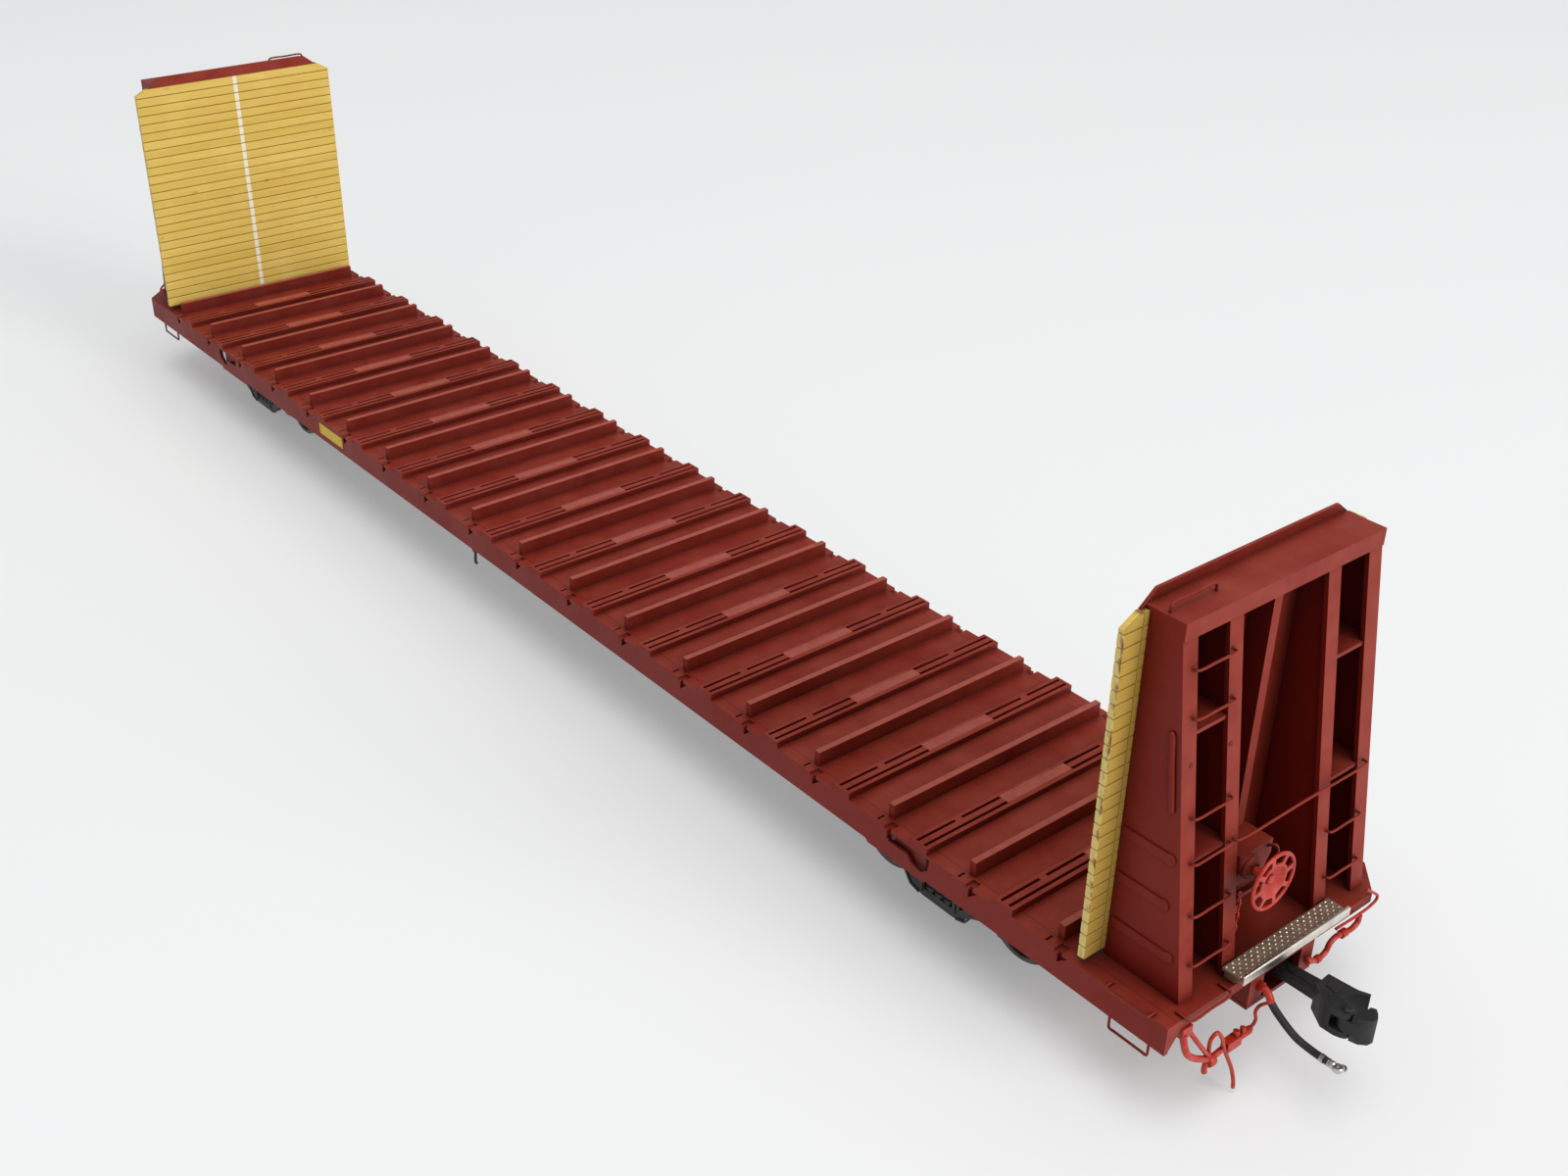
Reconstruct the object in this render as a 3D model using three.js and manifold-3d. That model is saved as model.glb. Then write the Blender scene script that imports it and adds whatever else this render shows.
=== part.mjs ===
// HO-scale bulkhead flat car: ribbed deck, wood-lined end bulkheads, two sprung-style trucks,
// knuckle couplers and hand-brake gear. Millimetres, +Z up, +X towards the hand-brake end.
import * as THREE from 'three';
import { mergeVertices } from 'three/addons/utils/BufferGeometryUtils.js';
import Module from 'manifold-3d';

const wasm = await Module();
wasm.setup();

// ---------------------------------------------------------------- driving dimensions
const FLANGE = 0.6; // wheel flanges reach this far below the rail head
const COUPLER_Z = FLANGE + 10.12; // coupler centre height
const DECK_TOP = FLANGE + 12.93;
const DECK_THICK = 0.9;
const DECK_LENGTH = 236.8;
const DECK_WIDTH = 34.94;
const SILL_DEPTH = 3.33; // side sill, measured down from the deck top
const SILL_WEB = 0.57;
const END_SILL_DEPTH = 1.2;

const RIB_COUNT = 18;
const RIB_PITCH = 12.25;
const RIB_WIDTH = 0.8;
const RIB_LENGTH = 32.14;
const RIB_HEIGHT = 1.87;

const STRIP_OFFSET = 5.35; // strip centre, behind the rib it follows
const STRIP_WIDTH = 2.45;
const STRIP_HEIGHT = 0.8;
const GROOVE_WIDTH = 0.36;
const GROOVE_DEPTH = 0.45;
const GROOVE_SHORT = [[5.0, 10.7], [11.7, 17.15]];
const GROOVE_LONG = [5.0, 17.15];

const LINING_FACE = 106.9; // load side of each bulkhead lining
const LINING_THICK = 0.85;
const LINING_WIDTH = 34.44;
const LINING_BOTTOM = DECK_TOP + 0.77;
const LINING_TOP = DECK_TOP + 38.27;

const FRAME_HALF = 14.25; // half width of the bulkhead's steel frame
const FRAME_TOP = LINING_TOP + 0.45;
const POST_DEPTH_FOOT = 9.15;
const POST_DEPTH_TOP = 3.85;
const POST_FLANGE = 1.85;
const PLATE = 0.5; // general plate thickness in the bulkhead frame

const TRUCK_X = 83.3;
const AXLE_SPREAD = 20.3;
const TREAD_R = 4.8;
const WHEEL_WIDTH = 2.8;
const BACK_TO_BACK = 14.4;
const AXLE_HALF = 12.6;
const SIDEFRAME_Y = 11.2; // inner face of a side frame

const PIVOT_X = 111.6; // coupler pivot
const BOX_REAR = 107.0;
const BOX_FRONT = 118.3;
const BOX_HALF = 5.0;

const BOARD_COUNT = 26;
const V_HALF = 0.14; // half width of the groove between two boards
const V_DEPTH = 0.12;

const HOUSING = { x0: 112.2, x1: 115.9, y0: -5.95, y1: -1.1, z0: DECK_TOP + 8.1, z1: DECK_TOP + 12.3 };
const BRAKE = { x: 118.5, y: -4.85, z: DECK_TOP + 10.97, rim: 3.15, shaft: 0.45 };
const CHAIN = { x: 115.9, y: -5.6 };
const HANGER = {
  cylinder: { x: -13, y: 8, z: 8.9 },
  reservoir: { x: 8, y: 8.5, z: 8.9 },
  valve: { x: 10, y: 9, z: 9.2 },
};
const HOSE = [
  [119.8, -3.5, 10.0], [120.6, -3.5, 9.3], [123.1, -3.5, 7.9], [125.1, -3.5, 7.6], [127.0, -3.6, 7.7],
];

const SCREW_R = 0.8;
const SCREW_HEAD = 1.6;
const JOURNAL_R = 0.5;
const AXLE_R = 0.8;
const FLANGE_R = TREAD_R + FLANGE;

const RUN = 0.06; // running clearance on a radius
const SEAT = 0.03; // gap left between fitted pieces

// ---------------------------------------------------------------- materials
const material = (color, roughness, metalness) =>
  new THREE.MeshStandardMaterial({ color, roughness, metalness });
const BODY_RED = material(0x82372d, 0.6, 0);
const WOOD_YELLOW = material(0xd9b85c, 0.75, 0);
const BRAKE_RED = material(0xd05038, 0.5, 0);
const BLACK_PLASTIC = material(0x2a2a2c, 0.65, 0);
const STEEL = material(0xb0b0ac, 0.35, 1);
const BRONZE = material(0xb08040, 0.4, 1);
const RUBBER = material(0x1c1c1d, 0.8, 0);

// ---------------------------------------------------------------- solids
// A closed geometry as a manifold solid.
function solid(geometry) {
  const g = geometry.index ? geometry.toNonIndexed() : geometry;
  g.deleteAttribute('normal');
  g.deleteAttribute('uv');
  const merged = mergeVertices(g, 1e-4);
  return new wasm.Manifold(new wasm.Mesh({
    numProp: 3,
    vertProperties: merged.attributes.position.array,
    triVerts: new Uint32Array(merged.index.array),
  }));
}

// A box from its low corner to its high corner.
function box(low, high) {
  const size = high.map((v, i) => v - low[i]);
  const g = new THREE.BoxGeometry(...size);
  g.translate(...low.map((v, i) => v + size[i] / 2));
  return solid(g);
}

// A box centred in y, from x0 to x1 and z0 to z1.
const slab = (x0, x1, halfY, z0, z1) => box([x0, -halfY, z0], [x1, halfY, z1]);

// An outline of [x, z] points pushed from y0 to y1.
function sideProfile(points, y0, y1) {
  const shape = new THREE.Shape(points.map(([x, z]) => new THREE.Vector2(x, z)));
  const g = new THREE.ExtrudeGeometry(shape, { depth: y1 - y0, bevelEnabled: false });
  g.rotateX(Math.PI / 2);
  g.translate(0, y1, 0);
  return solid(g);
}

// An outline of [y, z] points pushed from x0 to x1.
function endProfile(points, x0, x1) {
  const shape = new THREE.Shape(points.map(([y, z]) => new THREE.Vector2(y, z)));
  const g = new THREE.ExtrudeGeometry(shape, { depth: x1 - x0, bevelEnabled: false });
  g.applyMatrix4(new THREE.Matrix4().makeBasis(
    new THREE.Vector3(0, 1, 0), new THREE.Vector3(0, 0, 1), new THREE.Vector3(1, 0, 0)));
  g.translate(x0, 0, 0);
  return solid(g);
}

// An outline of [x, y] points pushed from z0 to z1.
function planProfile(points, z0, z1) {
  const shape = new THREE.Shape(points.map(([x, y]) => new THREE.Vector2(x, y)));
  const g = new THREE.ExtrudeGeometry(shape, { depth: z1 - z0, bevelEnabled: false });
  g.translate(0, 0, z0);
  return solid(g);
}

// A turned solid. profile is [radius, height] points from the axis to the axis; axis is 'x', 'y' or 'z'.
function turned(profile, axis, segments, at = [0, 0, 0]) {
  const g = new THREE.LatheGeometry(profile.map(([r, h]) => new THREE.Vector2(r, h)), segments);
  if (axis === 'x') g.rotateZ(-Math.PI / 2);
  if (axis === 'z') g.rotateX(Math.PI / 2);
  g.translate(...at);
  return solid(g);
}

// A plain round bar between two heights on its axis.
const bar = (radius, low, high, axis, at, segments = 16) =>
  turned([[0, low], [radius, low], [radius, high], [0, high]], axis, segments, at);

const join = (parts) => parts.reduce((whole, part) => whole.add(part));
const cut = (whole, parts) => parts.reduce((rest, part) => rest.subtract(part), whole);

// The solid turned half a turn about +Z, for the piece at the other end of the car.
const otherEnd = (part) => part.rotate([0, 0, 180]);

const group = new THREE.Group();

// Adds a solid to the model as a named mesh.
function place(name, part, look) {
  const { vertProperties, triVerts } = part.getMesh();
  const g = new THREE.BufferGeometry();
  g.setAttribute('position', new THREE.BufferAttribute(vertProperties, 3));
  g.setIndex(new THREE.BufferAttribute(triVerts, 1));
  g.computeVertexNormals();
  const mesh = new THREE.Mesh(g, look);
  mesh.name = name;
  group.add(mesh);
}

// Places a piece at the brake end (_b) and its half-turn copy at the other end (_a).
function placeBothEnds(name, part, look) {
  place(`${name}_b`, part, look);
  place(`${name}_a`, otherEnd(part), look);
}

// ---------------------------------------------------------------- deck
const HALF_LENGTH = DECK_LENGTH / 2;
const HALF_WIDTH = DECK_WIDTH / 2;
const INNER_HALF = HALF_WIDTH - SILL_WEB;
const END_WEB = HALF_LENGTH - PLATE;
const DECK_UNDER = DECK_TOP - DECK_THICK;
const SILL_BOTTOM = DECK_TOP - SILL_DEPTH;
const CORNER_X = 3.4; // cut corners, along the car
const CORNER_Y = 3.5; // cut corners, across the car
const ribFace = (i) => (i - (RIB_COUNT - 1) / 2) * RIB_PITCH + 0.05;
const bothWays = (side, near, far) => (side > 0 ? [near, far] : [-far, -near]);

// Plan of the deck with two opposite corners cut off.
const deckPlan = (halfX, halfY) => [
  [-halfX, -halfY], [halfX, -halfY], [halfX, halfY - CORNER_Y],
  [halfX - CORNER_X, halfY], [-halfX, halfY], [-halfX, -halfY + CORNER_Y],
  [-halfX + CORNER_X, -halfY],
];

// The plate with its side and end sills.
function deckShell() {
  const outer = deckPlan(HALF_LENGTH, HALF_WIDTH);
  const inner = deckPlan(END_WEB, INNER_HALF);
  outer.splice(0, 1);
  inner.splice(0, 1);
  const endSillBottom = DECK_TOP - END_SILL_DEPTH;
  const belowEndSill = endProfile([
    [-INNER_HALF, SILL_BOTTOM - 1], [INNER_HALF, SILL_BOTTOM - 1], [INNER_HALF, SILL_BOTTOM + 0.3],
    [INNER_HALF - 1.5, endSillBottom], [-INNER_HALF + 1.5, endSillBottom], [-INNER_HALF, SILL_BOTTOM + 0.3],
  ], -HALF_LENGTH - 1, HALF_LENGTH + 1);
  const hollow = planProfile(inner, SILL_BOTTOM - 1, DECK_UNDER);
  return cut(planProfile(outer, SILL_BOTTOM, DECK_TOP), [hollow, belowEndSill]);
}

// One grooved strip lies behind each rib but the last.
function strip(i) {
  const x = ribFace(i) + STRIP_OFFSET;
  const top = DECK_TOP + STRIP_HEIGHT;
  const floor = top - GROOVE_DEPTH;
  const body = slab(x - STRIP_WIDTH / 2, x + STRIP_WIDTH / 2, HALF_WIDTH, DECK_TOP - 0.2, top);
  const grooves = [];
  const addGroove = (x0, ys) => grooves.push(box([x0, ys[0], floor], [x0 + GROOVE_WIDTH, ys[1], top + 1]));
  for (const side of [-1, 1]) {
    for (const [near, far] of GROOVE_SHORT) addGroove(x - 0.76, bothWays(side, near, far));
    addGroove(x + 0.34, bothWays(side, ...GROOVE_LONG));
  }
  return cut(body, grooves);
}

// The stake pocket at each rib end: a notch in the deck edge and a three-cornered hole in the sill.
function stakePocket(i, side) {
  const x = ribFace(i);
  const notch = bothWays(side, HALF_WIDTH - 1.25, HALF_WIDTH + 1);
  const web = bothWays(side, INNER_HALF - 0.1, HALF_WIDTH + 1);
  const dash = bothWays(side, HALF_WIDTH - 1.2, HALF_WIDTH - 0.25);
  const top = DECK_TOP - 0.35;
  return [
    box([x + 0.05, notch[0], DECK_TOP - 0.35], [x + 1.1, notch[1], DECK_TOP + 0.1]),
    sideProfile([[x + 0.5, top], [x + 0.5, top - 1.05], [x + 1.75, top]], web[0], web[1]),
    box([x - 1.4, dash[0], DECK_TOP - 0.25], [x - 1.1, dash[1], DECK_TOP + 0.1]),
  ];
}

// The opening in the side sill abreast of a truck, where the body bolster's end shows.
function bolsterOpening(x, side) {
  const [y0, y1] = bothWays(side, INNER_HALF - 0.1, HALF_WIDTH + 1);
  const top = DECK_UNDER + 0.55;
  const outline = [[-2.9, top], [-2.9, 11.95], [0, 11.9], [0.8, 11.1], [2.1, 10.9], [3.2, 11.7], [3.4, top]];
  return sideProfile(outline.map(([dx, z]) => [x + Math.sign(x) * dx, z]), y0, y1);
}

// The side sill is a little deeper below each body bolster.
function sillPad(x, side) {
  const [y0, y1] = bothWays(side, INNER_HALF, HALF_WIDTH);
  const low = SILL_BOTTOM - 0.35;
  const outline = [[-6.7, SILL_BOTTOM + 0.2], [-6, low], [2.6, low], [3.3, SILL_BOTTOM + 0.2]];
  return sideProfile(outline.map(([dx, z]) => [x + Math.sign(x) * dx, z]), y0, y1);
}

function deck() {
  const parts = [deckShell()];
  const cuts = [slab(END_WEB - 1, HALF_LENGTH + 1, BOX_HALF + 0.1, SILL_BOTTOM, DECK_UNDER)];
  cuts.push(otherEnd(cuts[0]));
  for (let i = 0; i < RIB_COUNT; i += 1) {
    const x = ribFace(i);
    parts.push(slab(x - RIB_WIDTH, x, RIB_LENGTH / 2, DECK_TOP - 0.2, DECK_TOP + RIB_HEIGHT));
    if (i < RIB_COUNT - 1) parts.push(strip(i));
    for (const side of [-1, 1]) cuts.push(...stakePocket(i, side));
  }
  for (const x of [-TRUCK_X, TRUCK_X]) {
    for (const side of [-1, 1]) {
      cuts.push(bolsterOpening(x, side));
      parts.push(sillPad(x, side));
    }
  }
  return cut(join(parts), cuts);
}

place('deck', deck(), BODY_RED);

// ---------------------------------------------------------------- underframe
const FRAME_TOP_Z = DECK_UNDER - SEAT;
const WEIGHT_HALF_X = 66;
const WEIGHT_HALF_Y = 13;
const WEIGHT_BOTTOM = DECK_UNDER - 1.05;
const PIN_X = 55;
const CENTRE_PLATE_Z = 9.95;
const CENTRE_SILL_BOTTOM = 8.6;
const BEARER_X = [18.4, 42.9, 61.3];
const CROSSBEARER_HALF = 0.45;
const PIPE_Y = 4.6;
const PIPE_Z = 10.75;
const PIPE_R = 0.4;

// A cross member, deep in the middle and shallow at the side sills.
function crossMember(x, half, middle, outer) {
  const y = INNER_HALF - SEAT;
  return endProfile([
    [-y, FRAME_TOP_Z], [-y, outer], [-3.8, middle], [3.8, middle], [y, outer], [y, FRAME_TOP_Z],
  ], x - half, x + half);
}

function underframe() {
  const end = BOX_REAR - SEAT;
  const parts = [
    slab(-end, end, 3.2, CENTRE_SILL_BOTTOM, FRAME_TOP_Z),
    slab(-end, end, 3.8, CENTRE_SILL_BOTTOM, CENTRE_SILL_BOTTOM + 0.4),
  ];
  for (const side of [-1, 1]) {
    for (const x of BEARER_X) {
      parts.push(crossMember(side * x, CROSSBEARER_HALF, 9.2, SILL_BOTTOM + 0.9));
    }
    parts.push(crossMember(side * TRUCK_X, 2.4, CENTRE_PLATE_Z, SILL_BOTTOM + 0.8));
  }
  const centreRecess = [];
  const holes = [];
  for (const x of [-TRUCK_X, TRUCK_X]) {
    centreRecess.push(slab(x - 4.2, x + 4.2, 4, CENTRE_SILL_BOTTOM - 1, CENTRE_PLATE_Z));
    holes.push(bar(SCREW_R + 0.05, CENTRE_PLATE_Z - 1, 12.2, 'z', [x, 0, 0]));
  }
  // Pipes and hangers that pass the cross members.
  for (const side of [-1, 1]) {
    holes.push(bar(PIPE_R + 0.15, -110, 110, 'x', [0, side * PIPE_Y, PIPE_Z], 6));
  }
  const crossing = box([-0.6, -PIPE_Y, PIPE_Z - 0.6], [0.6, PIPE_Y, PIPE_Z + 0.55]);
  const pocket = slab(-WEIGHT_HALF_X - 0.1, WEIGHT_HALF_X + 0.1, WEIGHT_HALF_Y + 0.1,
    WEIGHT_BOTTOM - SEAT, DECK_TOP);
  const pins = [-PIN_X, PIN_X].map((x) => bar(0.9, WEIGHT_BOTTOM - 0.5, FRAME_TOP_Z - 0.2, 'z', [x, 0, 0]));
  const whole = cut(join(parts), [...centreRecess, ...holes, crossing, pocket]);
  return join([whole, ...pins, ...gearHangers()]);
}

// Plates beside the centre sill that the brake gear hangs from.
function gearHangers() {
  const top = WEIGHT_BOTTOM - SEAT;
  return [
    box([HANGER.cylinder.x - 2.2, 3, top - 0.35], [HANGER.cylinder.x + 2.2, HANGER.cylinder.y + 1.6, top]),
    box([HANGER.valve.x - 1.6, -HANGER.valve.y - 1.4, top - 0.35], [HANGER.valve.x + 1.6, -3, top]),
    box([HANGER.reservoir.x - 2.6, 3, top - 0.35], [HANGER.reservoir.x + 2.6, HANGER.reservoir.y + 1.6, top]),
  ];
}

place('underframe', underframe(), BLACK_PLASTIC);

function ballastWeight() {
  const x = WEIGHT_HALF_X;
  const y = WEIGHT_HALF_Y;
  const chamfer = 1.5;
  const plan = [
    [-x + chamfer, -y], [x - chamfer, -y], [x, -y + chamfer], [x, y - chamfer],
    [x - chamfer, y], [-x + chamfer, y], [-x, y - chamfer], [-x, -y + chamfer],
  ];
  const holes = [-PIN_X, PIN_X].map((px) => bar(1.0, 0, 20, 'z', [px, 0, 0]));
  return cut(planProfile(plan, WEIGHT_BOTTOM, DECK_UNDER - 2 * SEAT), holes);
}

place('ballast_weight', ballastWeight(), STEEL);

// ---------------------------------------------------------------- bulkheads
const FOOT_Z = DECK_TOP + 0.02;
const SHEET_FRONT = LINING_FACE + LINING_THICK;
const SHEET_BACK = SHEET_FRONT + PLATE;
const POST_Y = [13.2, 7.05];
const STIFFENER_BACK = 110.85;
const postBack = (z) => SHEET_FRONT + POST_DEPTH_TOP
  + (POST_DEPTH_FOOT - POST_DEPTH_TOP) * (LINING_TOP - 1.4 - z) / (LINING_TOP - 1.4 - DECK_TOP);

// An upright in the shape of a tapered channel: a web across the car's length and a flange behind it.
function post(y, webY, webHalf, top) {
  const foot = postBack(FOOT_Z);
  const head = postBack(top);
  const web = sideProfile([[SHEET_FRONT + 0.1, FOOT_Z], [foot, FOOT_Z], [head, top],
    [SHEET_FRONT + 0.1, top]], webY - webHalf, webY + webHalf);
  const flange = sideProfile([[foot - PLATE, FOOT_Z], [foot, FOOT_Z], [head, top],
    [head - PLATE, top]], y - POST_FLANGE / 2, y + POST_FLANGE / 2);
  return join([web, flange]);
}

// The raised mouldings on the outer side plate.
function sidePlateRelief(side) {
  const [y0, y1] = bothWays(side, FRAME_HALF - 0.1, FRAME_HALF + 0.16);
  const tilt = (z) => postBack(z) - 1.0;
  const parts = [sideProfile([
    [tilt(DECK_TOP + 20) - 0.45, DECK_TOP + 20.3], [tilt(DECK_TOP + 20) + 0.1, DECK_TOP + 19.8],
    [tilt(DECK_TOP + 28) + 0.45, DECK_TOP + 27.6], [tilt(DECK_TOP + 28) + 0.1, DECK_TOP + 28],
    [tilt(DECK_TOP + 28) - 0.35, DECK_TOP + 27.6],
  ], y0, y1)];
  for (const [z, reach] of [[15.07, 5.9], [9.87, 5.9], [4.47, 7.2]]) {
    const x = SHEET_FRONT + reach;
    parts.push(box([SHEET_BACK - 0.1, y0, DECK_TOP + z - 0.5], [x, y1, DECK_TOP + z + 0.5]));
    parts.push(bar(0.62, y0, y1 + (side > 0 ? 0.12 : 0), 'y', [x, 0, DECK_TOP + z], 10));
  }
  return parts;
}

// The raised plate over the lining, a low trapezoid.
function cap() {
  const z0 = LINING_TOP + SEAT;
  const z1 = LINING_TOP + 1.55;
  return endProfile([[-14.85, z0], [14.85, z0], [12.9, z1], [-12.9, z1]], LINING_FACE, LINING_FACE + 0.35);
}

// Everything of a bulkhead's steel frame that both ends have.
function bulkheadFrame() {
  const under = LINING_TOP + SEAT;
  const webY = FRAME_HALF - PLATE / 2;
  const parts = [
    slab(SHEET_FRONT, SHEET_BACK, FRAME_HALF, FOOT_Z, under + 0.1),
    slab(LINING_FACE + 0.1, postBack(under), FRAME_HALF, under, FRAME_TOP),
    slab(postBack(under - 1.3) - 0.35, postBack(under - 1.3) + 0.15, FRAME_HALF, under - 1.4, FRAME_TOP),
    slab(SHEET_FRONT + 0.1, STIFFENER_BACK, 0.58, FOOT_Z, under + 0.1),
    cap(),
  ];
  for (const side of [-1, 1]) {
    parts.push(post(side * POST_Y[0], side * webY, PLATE / 2, under + 0.1));
    parts.push(post(side * POST_Y[1], side * POST_Y[1], PLATE / 2, under + 0.1));
    for (const z of [DECK_TOP + 27.4, DECK_TOP + 14.4]) {
      const [y0, y1] = bothWays(side, POST_Y[1], webY);
      parts.push(box([SHEET_BACK - 0.1, y0, z - 0.2], [postBack(z) - 0.2, y1, z + 0.2]));
    }
    parts.push(...sidePlateRelief(side));
  }
  return join(parts);
}

// The brake end's frame also has the shelf under the brake housing.
function brakeShelf() {
  const under = HOUSING.z0 - SEAT;
  return join([
    box([SHEET_BACK - 0.1, HOUSING.y0, under - 0.4], [HOUSING.x1, HOUSING.y1, under]),
    box([SHEET_BACK - 0.1, -3.8, under - 2.4], [SHEET_BACK + 3.2, -3.3, under - 0.2]),
  ]);
}

// Boards across the load face, parted by shallow V grooves.
function lining() {
  const x0 = LINING_FACE;
  const x1 = SHEET_FRONT - SEAT;
  const pitch = (LINING_TOP - LINING_BOTTOM) / BOARD_COUNT;
  const front = [];
  const back = [];
  for (let i = 1; i < BOARD_COUNT; i += 1) {
    const z = LINING_BOTTOM + i * pitch;
    front.push([x0, z - V_HALF], [x0 + V_DEPTH, z], [x0, z + V_HALF]);
    back.push([x1, z - V_HALF], [x1 - V_DEPTH, z], [x1, z + V_HALF]);
  }
  const outline = [[x0, LINING_BOTTOM], ...front, [x0, LINING_TOP], [x1, LINING_TOP],
    ...back.reverse(), [x1, LINING_BOTTOM]];
  const half = LINING_WIDTH / 2;
  const boards = sideProfile(outline, -half, half);
  const trim = endProfile([
    [-half - 1, LINING_BOTTOM - 1], [half + 1, LINING_BOTTOM - 1], [half + 1, LINING_TOP - 1.1 - 0.55],
    [half - 2, LINING_TOP], [half - 2, LINING_TOP + 1], [-half + 2, LINING_TOP + 1],
    [-half + 2, LINING_TOP], [-half - 1, LINING_TOP - 1.1 - 0.55],
  ], x0 - 1, x1 + 1);
  return boards.intersect(trim);
}

const frame = bulkheadFrame();
place('bulkhead_frame_b', frame.add(brakeShelf()), BODY_RED);
place('bulkhead_frame_a', otherEnd(frame), BODY_RED);
placeBothEnds('bulkhead_lining', lining(), WOOD_YELLOW);

// ---------------------------------------------------------------- crossover platforms
function platform() {
  const z1 = DECK_TOP + 1.32;
  const x0 = postBack(FOOT_Z) + SEAT;
  const x1 = HALF_LENGTH + 1.1;
  const parts = [
    slab(x0, x1, 8.2, z1 - 0.35, z1),
    slab(x1 - 0.3, x1, 8.2, z1 - 0.35, z1 + 0.45),
  ];
  for (const y of [-7.6, 0, 7.6]) {
    parts.push(sideProfile([[x0 + 0.1, FOOT_Z], [HALF_LENGTH - 0.2, FOOT_Z], [x1 - 0.4, z1 - 0.5],
      [x1 - 0.4, z1 - 0.2], [x0 + 0.1, z1 - 0.2]], y - 0.25, y + 0.25));
  }
  return join(parts);
}

placeBothEnds('crossover_platform', platform(), BODY_RED);

// ---------------------------------------------------------------- hand brake
// The gear case: wider at the top than at the bottom, with a round cover over the gear.
function brakeHousing() {
  const { x0, x1, y0, y1, z0, z1 } = HOUSING;
  const body = endProfile([
    [y0, z0], [y1 - 1.3, z0], [y1, z1 - 1.6], [y1, z1], [y0, z1],
  ], x0, x1 - 0.5);
  const cover = bar(1.2, x1 - 1, x1, 'x', [0, BRAKE.y, BRAKE.z]);
  const bore = bar(BRAKE.shaft + RUN, x0 + 1.2, x1 + 1, 'x', [0, BRAKE.y, BRAKE.z]);
  return cut(join([body, cover]), [bore]);
}

// The hand wheel: a dished disc with a ring of openings behind its rim.
function brakeWheel() {
  const { shaft, rim, x } = BRAKE;
  const disc = turned([
    [0, HOUSING.x0 + 1.3], [shaft, HOUSING.x0 + 1.3], [shaft, x - 0.9], [0.95, x - 0.8],
    [1.7, x - 0.14], [rim - 0.35, x - 0.14], [rim - 0.25, x - 0.22], [rim, x - 0.1], [rim, x + 0.1],
    [rim - 0.25, x + 0.22], [rim - 0.35, x + 0.12], [1.65, x + 0.12], [0.9, x - 0.35], [0, x - 0.3],
  ], 'x', 24, [0, BRAKE.y, BRAKE.z]);
  const holes = [];
  for (let i = 0; i < 8; i += 1) {
    const middle = (i - 0.22) * Math.PI / 4;
    const corner = (r, turn) => [
      BRAKE.y + r * Math.cos(middle + turn), BRAKE.z + r * Math.sin(middle + turn),
    ];
    const outline = [corner(1.8, -0.2), corner(2.7, -0.24), corner(2.7, 0.24), corner(1.8, 0.2)];
    holes.push(endProfile(outline, x - 1, x + 1));
  }
  return cut(disc, holes);
}

place('brake_housing', brakeHousing(), BODY_RED);
place('brake_wheel', brakeWheel(), BRAKE_RED);
place('brake_chain', bar(0.28, FOOT_Z, HOUSING.z0 - 0.5, 'z', [CHAIN.x, CHAIN.y, 0], 8), BODY_RED);

// ---------------------------------------------------------------- air brake gear
// A tank lying along the car with domed ends.
const tank = (radius, half, at) => turned([
  [0, -half], [radius * 0.6, -half + 0.15], [radius, -half + 0.7], [radius, half - 0.7],
  [radius * 0.6, half - 0.15], [0, half],
], 'x', 14, at);

function brakeCylinder() {
  const { x, y, z } = HANGER.cylinder;
  const mount = box([x - 1.6, y - 0.8, z], [x + 1.6, y + 0.8, WEIGHT_BOTTOM - SEAT - 0.38]);
  const rod = bar(0.3, x + 2, x + 6.5, 'x', [0, y, z], 8);
  const flange = bar(1.75, x + 1.5, x + 2, 'x', [0, y, z], 14);
  return join([tank(1.5, 3, [x, y, z]), mount, rod, flange]);
}

function airReservoir() {
  const { x, y, z } = HANGER.reservoir;
  const mount = box([x - 2, y - 0.8, z], [x + 2, y + 0.8, WEIGHT_BOTTOM - SEAT - 0.38]);
  const seam = bar(1.85, x - 0.2, x + 0.2, 'x', [0, y, z], 14);
  return join([tank(1.7, 5, [x, y, z]), mount, seam]);
}

function controlValve() {
  const { x, y, z } = HANGER.valve;
  const top = WEIGHT_BOTTOM - SEAT - 0.38;
  return join([
    box([x - 1.1, -y - 0.9, z - 1], [x + 1.1, -y + 0.9, top]),
    bar(0.75, x - 2, x + 2, 'x', [0, -y, z], 12),
    bar(0.6, -y - 1.5, -y + 1.3, 'y', [x, 0, z - 0.1], 12),
  ]);
}

// A round tube along a smooth path through the points.
function tube(points, radius, steps, halfSides) {
  const path = new THREE.CatmullRomCurve3(points.map((p) => new THREE.Vector3(...p)), false, 'centripetal');
  const circle = new THREE.Shape();
  circle.absarc(0, 0, radius, 0, 2 * Math.PI);
  const g = new THREE.ExtrudeGeometry(circle, { steps, curveSegments: halfSides, extrudePath: path });
  return solid(g);
}

// The pipe runs on one side of the centre sill, crosses it at mid-length and runs on the other side.
// It stops behind the end sill, beside the draft box.
function trainLine() {
  const bend = tube([
    [97, -PIPE_Y, PIPE_Z], [101, -PIPE_Y, PIPE_Z], [104, -5.5, PIPE_Z], [106, -6.1, PIPE_Z],
    [115.5, -6.1, PIPE_Z],
  ], PIPE_R, 10, 4);
  const straight = bar(PIPE_R, 0, 98, 'x', [0, -PIPE_Y, PIPE_Z], 8);
  const crossing = bar(PIPE_R, -PIPE_Y - PIPE_R, PIPE_Y + PIPE_R, 'y', [0, 0, PIPE_Z], 8);
  const half = join([bend, straight]);
  return join([half, otherEnd(half), crossing]);
}

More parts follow.
